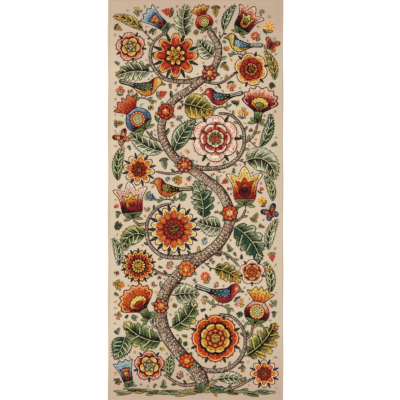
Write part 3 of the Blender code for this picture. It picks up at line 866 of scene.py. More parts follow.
# A songbird's parts in shares of its length: where the head, tail, beak and belly begin, and its details
HEAD, TAIL, BEAK, BELLY = 0.22, -0.17, 0.385, 0.02
WING_SCALES = [
    (0.08, 0.13), (0.0, 0.13), (-0.08, 0.105), (-0.16, 0.085), (0.06, 0.045), (-0.02, 0.04), (-0.10, 0.045),
]
SCALE = np.array([(0.02, -0.03), (-0.015, -0.02), (-0.02, 0.01), (0.01, 0.03)])
BREAST_DOTS = [(0.12, 0.02), (0.17, 0.05), (0.20, 0.10), (0.18, 0.16)]
COLLAR = np.array([(0.245, 0.02), (0.225, 0.15), (0.20, 0.26)])
EYE = np.array([(0.325, 0.245)])
PERCH_LEAVES = [(0, -60), (3, -140), (-4, 60), (-1, 80), (1, -20), (-2, 120)]


def work_bird(work, motif, outline, dress):
    """A plain songbird with a scaled wing, a striped tail and a spotted breast, on a twig."""
    size = motif.size * MM
    wing = spline(WING, 4, closed=True) * size
    ahead = (3 * size, 0.1 * size)
    head, tail, beak, belly = (share * size for share in (HEAD, TAIL, BEAK, BELLY))
    work.fill(outline, dress.outer, ahead, [wing], within(tail, head, belly))
    work.fill(outline, dress.heart, ahead, [wing], within(tail, head, high=belly))
    work.fill(outline, ("ink", *dress.inner[:2]), ahead, [wing], within(right=tail))
    work.fill(outline, dress.heart[::-1], ahead, where=within(head, beak), row=7 * MM)
    work.fill(outline, ("orange", "mustard"), ahead, where=within(beak), row=10 * MM)
    work.fill(wing, dress.inner[::-1], (0.3 * size, 0.2 * size), row=9 * MM)
    work.detail(wing, dress.line, 3.4 * MM, closed=True)
    for spot in WING_SCALES:
        work.detail((spot + SCALE) * size, dress.line, 2.8 * MM)
        work.knots([(spot[0] * size + 3 * MM, spot[1] * size)], (dress.spot,), 4 * MM, DETAIL_UP)
    for y, name in ((0.055, dress.line), (0.075, dress.spot), (0.095, dress.line), (0.115, dress.spot)):
        work.detail([(-0.50 * size, y * size), (-0.2 * size, (y - 0.02) * size)], name, 2.6 * MM, step=7 * MM)
    for x in (-0.05, 0.0, 0.05, 0.10, 0.15, 0.20):
        work.detail(np.array([(x, -0.07), (x + 0.03, -0.03)]) * size, dress.line, 2.4 * MM)
    for spot in BREAST_DOTS:
        work.knots(np.array([spot]) * size, (dress.spot,), 4.2 * MM, DETAIL_UP)
    work.detail(COLLAR * size, dress.line, 3.0 * MM)
    work.knots(EYE * size, ("cream",), 8.4 * MM, 0.6 * MM)
    work.knots(EYE * size, ("ink",), 4.8 * MM, 1.1 * MM)
    for x in (0.02, 0.10):
        work.line(np.array([(x, -0.10), (x + 0.01, -0.165)]) * size, "ink", 3.2 * MM)
    perch = spline(PERCH, 4) * size
    for rise, name in ((-1, "ink"), (1, "mauve")):
        work.line(perch + [0, rise * 1.6 * MM], name, 3.4 * MM)
    for spot, heading in PERCH_LEAVES:
        blade(work, perch[spot], heading, 0.12 * size, 0.055 * size, SPROUT)


def work_butterfly(work, motif, outline, dress):
    size = motif.size * MM
    centre = (0, 0.04 * size)
    inner = scaled(outline, 0.62, (0, 0.06 * size))
    work.fill(outline, dress.outer[::-1], centre, [inner], row=8 * MM)
    work.fill(inner, dress.inner, centre, row=8 * MM)
    work.fan(outline, dress.line, centre, 36, 2 * MM, [inner])
    work.detail(inner, dress.line, 2.6 * MM, closed=True)
    work.line([(0, -0.26 * size), (0, 0.02 * size), (0, 0.26 * size)], "ink", 5.6 * MM, height=2.2 * MM)
    for side in (1, -1):
        work.line(spline([(0, 0.24), (side * 0.05, 0.38), (side * 0.14, 0.50)], 4) * size, "ink", 1.3 * MM)
        work.knots([(side * 0.15 * size, 0.51 * size)], ("ink",), 2.2 * MM)
        for x, y in ((0.30, 0.36), (0.26, -0.16)):
            work.knots([(side * x * size, y * size)], ("cream",), 3.4 * MM, 0.5 * MM)


PAINTERS = {kind: work_round for kind in RINGS}
PAINTERS.update({kind: work_side for kind in CUP_TOPS})
PAINTERS.update({kind: work_leaf for kind in LEAVES})
PAINTERS.update({"songbird": work_bird, "butterfly": work_butterfly})


def worked_motif(motif, seed):
    work = Work(seed)
    work.place = motif.place
    outline = OUTLINES[motif.kind] * motif.size * MM
    dress = DRESSES[motif.dress]
    work.pad(outline, dress.outer[0])
    PAINTERS[motif.kind](work, motif, outline, dress)
    work.line(outline, dress.edge, closed=True)
    return work


Course = namedtuple("Course", "path way side width run root outline")


def course(points, root, tip):
    """A stem's centre line, with its directions, its width and the distance along it, and its outline."""
    path = spline(points, 10) * MM
    way, side = directions(path)
    run = distances_along(path)
    width = np.interp(run, [0, run[-1]], [root * MM, tip * MM])
    width *= np.clip((run[-1] - run) / STEM_TIP, 0.25, 1) ** 0.5
    return Course(path, way, side, width, run, root * MM, band(path, side, width[:, None] / 2))


COURSES = [course(*stem) for stem in STEMS]
BARK = ("bark", "mauve", "mauve", "taupe", "stone")


def work_stem(work, stem, without):
    """Lanes of stitches along a stem, from light to dark across it, with scales of bark over them."""
    path, _, side, width, run, root, outline = stem
    length = run[-1]
    work.pad(outline, "bark")

    def at(along, share):
        half = (share * np.interp(along, run, width) / 2)[:, None]
        return spots_at(along, run, path) + spots_at(along, run, side) * half

    lanes = max(3, round(root / PITCH))
    for lane in range(lanes):
        share = (2 * lane + 1) / lanes - 1
        count = int(length / LONG)
        marks = (np.arange(-1, count + 1) + work.rng.uniform(0, 1)) * length / count
        start, end = (at(marks + shift, np.full(count + 2, share)) for shift in (-1 * MM, LONG))
        wide = np.interp(marks, run, width) / root > (lane % 4) / 4.6
        start, end, _ = work.keep(start[wide], end[wide], outline, without)
        patch = 0.16 * np.sin(start[:, 0] * 61 + 4 * share) * np.sin(start[:, 1] * 47)
        tone = 0.70 - 0.34 * share - 0.44 * share**2 + patch + 0.15 * work.rng.normal(size=len(start))
        work.lay(start, end, work.shades(BARK, np.clip(tone, 0, 0.999)))
    scale = 7.5 * MM if root > 30 * MM else 4.6 * MM
    bow, rise = (np.array(shape) * scale for shape in ([-1, -0.7, 0, 0.7, 1], [0, 0.7, 1, 0.7, 0]))
    for number, along in enumerate(np.arange(0.008, length - 4 * MM, 2.2 * scale)):
        wide = np.interp(along, run, width)
        count = max(1, round(wide / (2.4 * scale)))
        for k in range(count):
            share = (2 * (k + 0.25 + 0.5 * (number % 2) + work.rng.uniform(-0.3, 0.3)) / count - 1) * 0.84
            if count == 1:
                share = 0.25 if number % 2 else -0.25
            spots = at(along + work.rng.uniform(-2.4, 2.4) * MM + rise, share + bow / wide * 2)
            if meets(spots[2:3], without):
                continue
            work.detail(spots, "ink" if k % 3 else "bark", 3.6 * MM, step=4.8 * MM)
            if (k + number) % 3:
                fleck = at(np.array([along, along + 0.1 * MM]), np.full(2, share))[:1]
                work.knots(fleck, ("cream", "stone", "cream", "orange"), 0.8 * scale, 0.6 * MM)
    for edge in (1, -1):
        marks = np.linspace(0, length, int(length / (4 * MM)))
        rim = at(marks, np.full(len(marks), float(edge)))
        clear = np.ones(len(rim), bool)
        for other in without:
            clear &= ~inside(rim, other)
        if clear.sum() > 2:
            work.line(rim[clear], "ink", 4.2 * MM if root > 15 * MM else 3.4 * MM)


def worked_stem():
    work = Work(7)
    for number, stem in enumerate(COURSES):
        work_stem(work, stem, [other.outline for other in COURSES[:number]])
    return work


# Small sprigs: each grows along +Y from its base at the origin to twice its radius, r. A ramp's first yarn is
# the outline's.

GREENS = [
    ("ink", "forest", "leaf"), ("forest", "leaf", "sage"), ("ink", "teal", "leaf"),
    ("forest", "moss", "sage"), ("ink", "olive", "mustard"),
]
BLOOMS = [
    ("crimson", "red", "coral"), ("burgundy", "crimson", "coral"), ("scarlet", "orange", "yellow"),
    ("burgundy", "crimson", "pink"), ("navy", "slate", "sky"), ("crimson", "scarlet", "orange"),
    ("crimson", "coral", "pink"), ("bark", "mustard", "yellow"),
]
GRAPES = [BLOOMS[1], BLOOMS[4], BLOOMS[0], BLOOMS[7]]
ROSETTES = [
    ("ink", "crimson", "red"), ("ink", "crimson", "coral"), ("burgundy", "scarlet", "orange"),
    ("ink", "red", "scarlet"),
]
TINTS = [
    ("coral", "pink"), ("mustard", "yellow"), ("olive", "sage"), ("slate", "sky"), ("bark", "taupe"),
    ("red", "coral"), ("moss", "sage"),
]


def pick(rng, choices):
    return choices[int(rng.integers(len(choices)))]


def leaflet(work, r, foot, heading, length, width, ramp):
    """A blade with its foot and size in shares of the sprig's radius."""
    blade(work, np.array(foot) * r, heading, length * r, width * r, ramp)


def bloom(work, centre, r, petals, colours):
    """A small open flower with a dark line between its petals and knots in its eye."""
    centre = np.array(centre)
    for k in range(petals):
        out, gap = ray(TAU * k / petals), ray(TAU * (k + 0.5) / petals)
        foot = centre + out * 0.18 * r
        blade(work, foot, 360 * k / petals, 0.82 * r, 4.4 * r / petals, colours[1:], pointed=False)
        work.detail([centre + gap * 0.25 * r, centre + gap * 0.8 * r], colours[0], 2 * MM)
    work.knots(centre + circle(0.2 * r, 5), ("yellow", "mustard"), max(3 * MM, 0.26 * r), 0.6 * MM)


def rosette(work, r, rng):
    """A larger open flower, outlined, with a small one on it."""
    colours = pick(rng, ROSETTES)
    work.lift += 0.6 * MM
    bloom(work, (0, 0), r, 8, colours)
    work.detail(petal_ring(8, 0.18, 0.55) * 2.04 * r, colours[0], 4.2 * MM, closed=True)
    work.lift += 0.6 * MM
    work.line(circle(0.52 * r, 20), colours[0], 3.4 * MM, closed=True)
    bloom(work, (0, 0), 0.5 * r, 6, pick(rng, BLOOMS))
    work.lift -= 1.2 * MM


def stalk(work, tip, bow, name="forest", width=2.8 * MM):
    path = spline([(0, 0), (bow, tip * 0.5), (0, tip)], 5)
    work.line(path, name, width)
    return path


def berry(work, centre, r, colours):
    size = max(4 * MM, 1.15 * r)
    spots = turned(circle(max(0.5 * r, 1.4 * MM), 5), *centre, work.rng.uniform(0, 72))
    work.knots(spots, colours[:2], size)
    work.knots([centre], colours[1:], size, 0.7 * MM)


def chord(r, height):
    """How far a circle of the sprig's size reaches to the side at a height."""
    return math.sqrt(max(r**2 - (height - r) ** 2, 0))


def sprig_daisy(work, r, rng):
    head = 1.16 * r
    stalk(work, head, rng.uniform(-0.2, 0.2) * r)
    green = pick(rng, GREENS)
    for side, height in ((1, 0.42), (-1, 0.22)):
        leaflet(work, r, (0, height), side * 62, 0.78, 0.42, green)
    bloom(work, (0, head), 0.80 * r, 5 if r < 14 * MM else 8, pick(rng, BLOOMS))


def sprig_fern(work, r, rng):
    path = stalk(work, 1.85 * r, rng.uniform(-0.3, 0.3) * r)
    green = pick(rng, GREENS)
    pairs = max(3, int(r / (5 * MM)))
    for k in range(pairs):
        spot = path[int((0.10 + 0.75 * k / pairs) * len(path))]
        length, width = 1.05 * chord(r, spot[1] + 0.3 * r), 1.25 * r / pairs + 1.5 * MM
        for side in (1, -1):
            blade(work, spot, side * 52, length, width, green)
    blade(work, path[-2], 0, 0.36 * r, 0.34 * r, pick(rng, BLOOMS))


def sprig_leaf(work, r, rng):
    """One broad leaf with a dark midrib, and a smaller one on each side of its foot."""
    green = pick(rng, GREENS)
    for side in (1, -1):
        leaflet(work, r, (0, 0.18), side * 66, 0.86, 0.40, pick(rng, GREENS))
    leaflet(work, r, (0, 0.1), 0, 1.86, 0.92, green)
    work.detail([(0, 0), (0.03 * r, 0.9 * r), (0, 1.7 * r)], "ink", 2.8 * MM)
    for height in np.arange(0.4, 1.3, 7 * MM / r):
        for side in (1, -1):
            work.detail([(0, height * r), (side * 0.28 * r, (height + 0.24) * r)], green[0], 2.0 * MM)


def sprig_berries(work, r, rng):
    stalk(work, 1.3 * r, rng.uniform(-0.2, 0.2) * r)
    colours = pick(rng, BLOOMS)
    for side in (1, -1):
        leaflet(work, r, (0, 0.3), side * 60, 0.8, 0.42, pick(rng, GREENS))
    for k in range(5):
        tip = np.array([0, 1.1 * r]) + ray(math.radians(-80 + 40 * k)) * 0.62 * r
        work.line([(0, 0.75 * r), tip], "forest", 2.4 * MM)
        berry(work, tip, 0.24 * r, colours)


def sprig_bud(work, r, rng):
    stalk(work, r, rng.uniform(-0.25, 0.25) * r)
    green, colours = pick(rng, GREENS), pick(rng, BLOOMS)
    for angle in (-30, 30, 0):
        leaflet(work, r, (0, 0.85), angle, 1.06, 0.52, colours)
    for angle in (-46, 46):
        leaflet(work, r, (0, 0.80), angle, 0.5, 0.28, green)
        leaflet(work, r, (0, 0.15), angle * 1.4, 0.9, 0.44, green)


def sprig_twig(work, r, rng):
    """A bowed twig with leaves by turns on either side, and a flower at its end."""
    path = stalk(work, 1.42 * r, rng.uniform(-0.4, 0.4) * r, "bark", 3.8 * MM)
    green, count = pick(rng, GREENS), max(4, int(r / (5 * MM)))
    for k in range(count):
        spot = path[int((0.08 + 0.66 * k / count) * len(path))]
        heading = (64 - 20 * k / count) * (-1) ** k
        blade(work, spot, heading, 1.08 * chord(r, spot[1] + 0.25 * r), 0.46 * r, green)
    bloom(work, path[-1], 0.52 * r, 6, pick(rng, BLOOMS))


def sprig_bouquet(work, r, rng):
    """Three flowers on one root with leaves between them."""
    green = pick(rng, GREENS)
    colours = [pick(rng, BLOOMS) for _ in range(3)]
    for (x, y), ramp in zip(((-0.50, 1.02), (0.50, 1.02), (0, 1.54)), colours):
        work.line(spline([(0, 0), (0.5 * x * r, 0.4 * y * r), (x * r, y * r)], 4), "forest", 3 * MM)
        bloom(work, (x * r, y * r), 0.44 * r, 6, ramp)
    for angle, height, length in ((-72, 0.2, 0.7), (72, 0.2, 0.7), (-34, 1.3, 0.62), (34, 1.3, 0.62)):
        leaflet(work, r, (0, height), angle, length, 0.30, green)


def sprig_grapes(work, r, rng):
    """A tapering bunch of berries hanging between two leaves."""
    stalk(work, 0.6 * r, 0, "bark", 3.8 * MM)
    green, colours = pick(rng, GREENS), pick(rng, GRAPES)
    for side in (1, -1):
        leaflet(work, r, (0, 0.2), side * 66, 0.9, 0.5, green)
    for row, number in enumerate((3, 4, 3, 2, 1)):
        for k in range(number):
            centre = ((k - (number - 1) / 2) * 0.33 * r, (0.72 + 0.28 * row) * r)
            berry(work, centre, 0.17 * r, colours)


def sprig_curl(work, r, rng):
    """A tendril winding inwards, with leaves on its outer side."""
    turn = np.linspace(math.pi, 3.4 * math.pi, 40)
    spread = np.linspace(0.62, 0.16, 40)[:, None] * r
    side = rng.choice([-1, 1])
    path = np.array([0, 1.02 * r]) + rays(turn * side) * spread
    work.line(np.vstack([[0, 0], path]), "bark", 3.8 * MM)
    green = pick(rng, GREENS)
    for k in range(2, 26, 4):
        blade(work, path[k], math.degrees(turn[k] * side) + 20 * side, 0.46 * r, 0.34 * r, green)
    bloom(work, path[-1], 0.36 * r, 5, pick(rng, BLOOMS))


def tiny_spray(work, r, rng):
    work.line([(0, 0), (0.1 * r, 0.8 * r), (0, 1.5 * r)], "moss", 1.8 * MM)
    tint = pick(rng, TINTS)
    for height, angle in ((0.2, 52), (0.45, -52), (0.7, 48), (0.95, -48)):
        blade(work, (0.05 * r, height * r), angle, 0.75 * r, 3.4 * MM, tint)
    work.knots([(0, 1.6 * r)], pick(rng, TINTS), 3.8 * MM)


def tiny_dots(work, r, rng):
    tint = pick(rng, TINTS)
    for angle in (-50, 0, 50):
        tip = np.array([0, 0.5 * r]) + ray(math.radians(angle)) * 0.9 * r
        work.line([(0, 0), (0, 0.5 * r), tip], "olive", 1.6 * MM)
        work.knots([tip], tint, 4.2 * MM)


def tiny_star(work, r, rng):
    tint = pick(rng, TINTS)
    for k in range(6):
        blade(work, np.array([0, r]) + ray(TAU * k / 6) * 0.15 * r, 60 * k, 0.65 * r, 3.2 * MM, tint)
    work.knots([(0, r)], ("yellow", "burgundy"), 3.2 * MM, 0.6 * MM)


TINY_SPRIGS = [tiny_spray, tiny_dots, tiny_star, tiny_spray]
SMALL_SPRIGS = [sprig_daisy, sprig_leaf, sprig_berries, sprig_bud, sprig_fern, sprig_leaf]
LARGE_SPRIGS = [
    sprig_twig, sprig_bouquet, sprig_grapes, sprig_curl, sprig_fern, sprig_twig, sprig_daisy, sprig_leaf,
]

# How the ground between the large motifs is filled
SMALL_RADIUS = 13 * MM
LARGE_RADIUS = 19 * MM
RADII = (7.5 * MM, 42 * MM)
CELL = 3 * MM
CLEAR = 3.5 * MM
SPREAD = 0.9
TEETH = 7 * MM
SIDE_MARGIN = 20 * MM
TOP_MARGIN = 26 * MM
BOTTOM_MARGIN = 42 * MM
SHOULDER_X = 250 * MM
SHOULDER_Y = 775 * MM
SHOULDER_RADIUS = 136 * MM
SHAPE_REACH = 60 * MM
CELLS_AT_ONCE = 4000000

# Twigs, the blossoms and leaves on the stems, and the long leaves along the foot
TWIG_REACH = 150 * MM
TWIG_TRIES = 60
TWIG_LEAF = (17 * MM, 8 * MM)
LEAFY_TWIG = 26 * MM
OVER = 1.3 * MM
STEM_BLOSSOMS = 8
BLOSSOM_RADIUS = 40 * MM
BLOSSOM_GAP = 200 * MM
BARE_ENDS = (0.12, 0.10)
GROUND_Y = -889 * MM
GROUND_X = np.arange(-0.358, 0.36, 0.017)
GROUND_LEAF_WIDTH = 14 * MM
ROOT = np.array([34, -884]) * MM
ROOT_LEAVES = (-88, 88, -56, 56, -24, 24, 0)
WHOLE_CLOTH = (0, 0, 0, 1)


def lozenge(foot, reach, half, more=0.0):
    """The outline of a leaf growing from a foot, a little longer at both ends if asked."""
    across = np.array([reach[1], -reach[0]]) * half
    middle = foot + reach * 0.5
    return np.array([foot - reach * more, middle + across, foot + reach * (1 + more), middle - across])


def twigs(work, areas, rng):
    """Thin twigs from the feet of leaves and blossoms to the nearest stem; gives their outlines."""
    edges = np.vstack([np.c_[stem.path, stem.width / 2] for stem in COURSES])
    laid = []
    for number, m in enumerate(MOTIFS):
        if m.kind not in LEAVES and m.kind not in CUP_TOPS:
            continue
        foot, back = np.array([m.x, m.y]) * MM, -ray(math.radians(m.turn))
        off = edges[:, :2] - foot
        far = np.hypot(*off.T)
        if (far < edges[:, 2] + 4 * MM).any():
            continue
        cost = (far - edges[:, 2]) * (1.6 - (off @ back) / far)
        for k in np.argsort(cost)[:TWIG_TRIES]:
            goal = edges[k, :2] - off[k] / far[k] * edges[k, 2]
            reach = far[k] - edges[k, 2]
            if reach > TWIG_REACH:
                continue
            bow = foot + back * 0.35 * reach
            path = spline([foot, 0.6 * bow + 0.4 * (foot + off[k] * 0.3), 0.25 * bow + 0.75 * goal, goal], 6)
            if meets(path[1:-1], areas[:number] + areas[number + 1:] + laid):
                continue
            way, side = directions(path)
            work.place = WHOLE_CLOTH
            work.line(path - side * 1.6 * MM, "ink", 3.2 * MM)
            work.line(path + side * 1.2 * MM, "mauve", 3.6 * MM)
            green = pick(rng, GREENS)
            heading = math.degrees(math.atan2(*-way[len(way) // 2]))
            for share, lean in ((0.35, 48), (0.62, -48)):
                if reach > LEAFY_TWIG:
                    blade(work, path[int(share * len(path))], heading + lean, *TWIG_LEAF, green)
            laid.append(band(path, side, 5 * MM))
            break
    return laid


def sprouts(work, areas, rng):
    """Blossoms over the main stem and small leaves growing from all the stems; gives their outlines."""
    main = COURSES[0]
    room = np.min([np.where(inside(main.path, area), 0, distance(main.path, area)) for area in areas], axis=0)
    room[(main.run < BARE_ENDS[0]) | (main.run > main.run[-1] - BARE_ENDS[1])] = 0
    laid = []
    work.lift = OVER
    for _ in range(STEM_BLOSSOMS):
        k = room.argmax()
        r = min(room[k] - CLEAR, BLOSSOM_RADIUS * rng.uniform(0.85, 1.1))
        work.place = (*main.path[k], rng.uniform(0, 360), 1)
        green = pick(rng, GREENS)
        for turn in np.arange(5) * 72 + rng.uniform(-14, 14, 5):
            blade(work, ray(math.radians(turn)) * 0.5 * r, turn, 0.75 * r, 0.42 * r, green)
        rosette(work, 0.9 * r, rng)
        laid.append(circle(1.15 * r, 24, main.path[k]))
        room[np.abs(main.run - main.run[k]) < BLOSSOM_GAP] = 0
    work.lift = 0
    work.place = WHOLE_CLOTH
    for number, stem in enumerate(COURSES):
        length, gap = (24 * MM, 42 * MM) if number else (34 * MM, 58 * MM)
        blocked = areas + [other.outline for other in COURSES if other is not stem]
        places = np.arange(0.6 * gap, stem.run[-1] - 0.4 * gap, gap) + rng.uniform(-6, 6) * MM
        for count, at in enumerate(places):
            k = np.searchsorted(stem.run, at)
            edge = 1 if count % 2 else -1
            foot = stem.path[k] + stem.side[k] * edge * 0.48 * stem.width[k]
            heading = math.degrees(math.atan2(*stem.way[k])) + edge * rng.uniform(34, 56)
            reach = ray(math.radians(heading)) * length
            if meets(foot + reach * np.array([[0.3], [0.6], [1.0], [1.25]]), blocked + laid):
                continue
            blade(work, foot, heading, length, 0.46 * length, pick(rng, GREENS))
            laid.append(lozenge(foot, reach, 0.28))
    return laid


def ground(work, blocked, rng):
    """Long leaves along the foot of the panel, away from the root on both sides; gives their outlines."""
    laid = []
    work.place = WHOLE_CLOTH
    stems = [stem.outline for stem in COURSES]
    for number, x in enumerate(GROUND_X):
        foot = np.array([x, GROUND_Y + 5 * MM * math.sin(17 * x) + rng.uniform(-8, 10) * MM])
        length = rng.uniform(44, 66) * MM
        heading = (1 if x > 0.035 else -1) * rng.uniform(72, 104)
        reach = ray(math.radians(heading)) * length
        probe = foot + reach * np.array([[0.2], [0.5], [0.8], [1.0]])
        if meets(probe, blocked) or abs(probe[-1, 0]) > PANEL_WIDTH / 2 - SIDE_MARGIN:
            continue
        work.lift = (OVER if meets(probe, stems) else 0) + number % 3 * 0.4 * MM
        blade(work, foot, heading, length, GROUND_LEAF_WIDTH, pick(rng, GREENS))
        laid.append(lozenge(foot, reach, 10 * MM / length, 0.1))
    work.lift = OVER + 1.2 * MM
    for turn in ROOT_LEAVES:
        blade(work, ROOT, turn, 42 * MM, 16 * MM, pick(rng, GREENS))
    work.lift = 0
    laid.append(circle(44 * MM, 24, ROOT))
    return laid


def free_field(shapes):
    """A grid over the cloth: how far each cell is from the margins and the (outline, margin) shapes."""
    xs = np.arange(-PANEL_WIDTH / 2, PANEL_WIDTH / 2, CELL)
    ys = np.arange(-PANEL_LENGTH / 2, PANEL_LENGTH / 2, CELL)
    gx, gy = np.meshgrid(xs, ys, indexing="ij")
    shoulder = np.maximum(np.abs(gx) - SHOULDER_X, 0), np.maximum(gy - SHOULDER_Y, 0)
    free = np.minimum.reduce([
        PANEL_WIDTH / 2 - SIDE_MARGIN - np.abs(gx), PANEL_LENGTH / 2 - TOP_MARGIN - gy,
        gy + PANEL_LENGTH / 2 - BOTTOM_MARGIN, SHOULDER_RADIUS - np.hypot(*shoulder),
    ])
    for shape, margin in shapes:
        low, high = shape.min(0) - SHAPE_REACH, shape.max(0) + SHAPE_REACH
        i0, i1 = np.searchsorted(xs, [low[0], high[0]])
        j0, j1 = np.searchsorted(ys, [low[1], high[1]])
        cells = np.c_[gx[i0:i1, j0:j1].ravel(), gy[i0:i1, j0:j1].ravel()]
        away = np.empty(len(cells))
        for part in np.array_split(np.arange(len(cells)), len(cells) * len(shape) // CELLS_AT_ONCE + 1):
            away[part] = distance(cells[part], shape) * np.where(inside(cells[part], shape), -1, 1)
        view = free[i0:i1, j0:j1]
        view[:] = np.minimum(view, away.reshape(view.shape) - margin)
    return gx, gy, free


def sprigs(shapes, areas):
    """All the small work: first what grows from the stems, then sprigs in the gaps, largest first."""
    work = Work(11)
    rng = np.random.default_rng(5)
    grown = twigs(work, areas, rng)
    grown += ground(work, areas + grown, rng)
    grown += sprouts(work, areas + grown, rng)
    gx, gy, free = free_field(shapes + [(shape, 0) for shape in grown])
    while True:
        i, j = np.unravel_index(np.argmax(free + rng.uniform(0, 3 * MM, free.shape)), free.shape)
        r = min(free[i, j] - CLEAR, RADII[1] * rng.uniform(0.8, 1))
        if r < RADII[0]:
            return work
        kinds = LARGE_SPRIGS if r > LARGE_RADIUS else SMALL_SPRIGS if r > SMALL_RADIUS else TINY_SPRIGS
        slope = np.array([free[i + 1, j] - free[i - 1, j], free[i, j + 1] - free[i, j - 1]])
        heading = math.degrees(math.atan2(slope[0], slope[1])) + rng.normal(0, 18)
        if np.hypot(*slope) < 0.2 * CELL:
            heading = rng.uniform(-70, 70)
        centre = np.array([gx[i, j], gy[i, j]])
        back = ray(math.radians(heading)) * r
        work.place = (*(centre - SPREAD * back), heading, 1)
        pick(rng, kinds)(work, SPREAD * r, rng)
        free = np.minimum(free, np.hypot(gx - centre[0], gy - centre[1]) - r)


class Nodes:
    """A short way to write a material's nodes."""

    def __init__(self, name):
        self.material = bpy.data.materials.new(name)
        self.material.use_nodes = True
        self.tree = self.material.node_tree
        self.shader = self.tree.nodes["Principled BSDF"]

    def feed(self, socket, value):
        if isinstance(value, bpy.types.NodeSocket):
            self.tree.links.new(value, socket)
        else:
            socket.default_value = value

    def put(self, node, **inputs):
        for name, value in inputs.items():
            self.feed(node.inputs[name.replace("_", " ")], value)

    def add(self, kind, settings=None, **inputs):
        node = self.tree.nodes.new("ShaderNode" + kind)
        for key, value in (settings or {}).items():
            setattr(node, key, value)
        self.put(node, **inputs)
        return node

    def noise(self, scale, detail, **inputs):
        return self.add("TexNoise", Scale=scale, Detail=detail, **inputs).outputs["Fac"]

    def wave(self, direction, scale, distortion, **inputs):
        settings = {"wave_type": "BANDS", "bands_direction": direction}
        return self.add("TexWave", settings, Scale=scale, Distortion=distortion, **inputs).outputs["Fac"]

    def math(self, operation, *values):
        node = self.add("Math", {"operation": operation})
        for socket, value in zip(node.inputs, values):
            self.feed(socket, value)
        return node.outputs[0]

    def product(self, first, *others):
        for other in others:
            first = self.math("MULTIPLY", first, other)
        return first

    def ramp(self, value, low, high, start, end):
        node = self.add("MapRange", Value=value, From_Min=low, From_Max=high, To_Min=start, To_Max=end)
        return node.outputs["Result"]

    def finish(self, colour, tone, rough, sheen, specular, height, depth):
        """The tinted colour, the dull surface and the relief, on the shader."""
        tint = self.add("Mix", {"data_type": "RGBA", "blend_type": "MULTIPLY"})
        for socket, value in ((tint.inputs["Factor"], 1), (tint.inputs[6], colour), (tint.inputs[7], tone)):
            self.feed(socket, value)
        bump = self.add("Bump", Strength=depth, Distance=0.4 * MM, Height=height)
        self.put(self.shader, Base_Color=tint.outputs[2], Roughness=rough, Sheen_Weight=sheen,
                 Specular_IOR_Level=specular, Normal=bump.outputs["Normal"])
        return self.material


def wool_material():
    """Two-ply wool: each strand's own colour with its painted shade, its twist with painted shade in the
    grooves between the plies, and fine fibre over both.
    """
    n = Nodes("crewel_wool")
    colour = n.add("Attribute", {"attribute_name": "wool"}).outputs["Color"]
    twist = n.add("Attribute", {"attribute_name": "twist"}).outputs["Vector"]
    space = n.add("TexCoord").outputs["Object"]
    ply = n.wave("DIAGONAL", 190.0, 0.6, Detail=1.0, Vector=twist)
    fibre = n.noise(2200.0, 2.0, Vector=space)
    tone_shift = n.noise(28.0, 3.0, Vector=space)
    # Painted shade: the ply's bands darken the colour in the grooves of the twist, down to 0.82.
    tone = n.product(n.ramp(ply, 0.0, 1.0, 0.82, 1.06), n.ramp(fibre, 0.3, 0.7, 0.86, 1.12),
                     n.ramp(tone_shift, 0.3, 0.7, 0.93, 1.07))
    height = n.math("ADD", n.math("MULTIPLY", ply, 0.6), n.math("MULTIPLY", fibre, 0.4))
    n.put(n.shader, Sheen_Roughness=0.5)
    return n.finish(colour, tone, n.ramp(fibre, 0.2, 0.8, 0.78, 0.96), 0.08, 0.15, height, 0.55)


LINEN_FIELD = (0.715, 0.572, 0.405, 1)
# Darker and browner towards the ends; along the outermost millimetres of the hems this colour is a painted
# shadow.
LINEN_DARK_ENDS_AND_HEM_SHADOW = (0.60, 0.44, 0.315, 1)
THREADS = (("X", 420.0), ("Y", 400.0))
SLUBS = ((900.0, 14.0, 1.0), (14.0, 900.0, 1.0))
DARKER_ENDS = (0.60, 0.86, 0.0, 1.0)
HEM_PAINTED_SHADOW = (0.399, 0.404, 0.0, 0.8)
# Painted shade: the linen darkens towards its right side, to 0.90.
PAINTED_SHADE_RIGHT = (0.22, 0.39, 1.0, 0.90)


def linen_material():
    """Plain-woven undyed linen, darker and browner towards its ends, with a painted shadow along its hems and
    painted shade darkening its right side.
    """
    n = Nodes("linen_with_painted_shade")
    space = n.add("TexCoord").outputs["Object"]
    split = n.add("SeparateXYZ", Vector=space)
    x, y = split.outputs["X"], split.outputs["Y"]
    # Painted shade: the weave darkens the colour between the threads, as well as making the relief.
    weave = n.product(*(n.wave(way, scale, 0.5, Vector=space) for way, scale in THREADS))
    long = [n.add("Mapping", Vector=space, Scale=scale).outputs[0] for scale in SLUBS]
    slubs = n.math("ADD", *(n.noise(1.0, 2.0, Vector=vector) for vector in long))
    cloud = n.noise(3.2, 5.0, Vector=space)
    speck = n.noise(380.0, 2.0, Vector=space)
    # The first ramp darkens the linen towards its ends; the second paints a shadow along its hems.
    ends, hem_shadow = (n.ramp(n.math("ABSOLUTE", way, 0.0), *tone_shift) for way, tone_shift in ((y, DARKER_ENDS), (x, HEM_PAINTED_SHADOW)))
    shade = n.add("Mix", {"data_type": "RGBA"}, Factor=n.math("MAXIMUM", ends, hem_shadow))
    n.feed(shade.inputs[6], LINEN_FIELD)
    n.feed(shade.inputs[7], LINEN_DARK_ENDS_AND_HEM_SHADOW)
    tone = n.product(
        n.ramp(slubs, 0.7, 1.3, 0.90, 1.08), n.ramp(weave, 0.0, 1.0, 0.90, 1.05),
        n.ramp(cloud, 0.3, 0.7, 0.95, 1.04), n.ramp(x, *PAINTED_SHADE_RIGHT), n.ramp(speck, 0.3, 0.7, 0.95, 1.05),
    )
    height = n.math("ADD", n.math("MULTIPLY", weave, 0.7), n.math("MULTIPLY", slubs, 0.5))
    return n.finish(shade.outputs[2], tone, n.ramp(speck, 0.2, 0.8, 0.85, 0.98), 0.1, 0.2, height, 0.5)


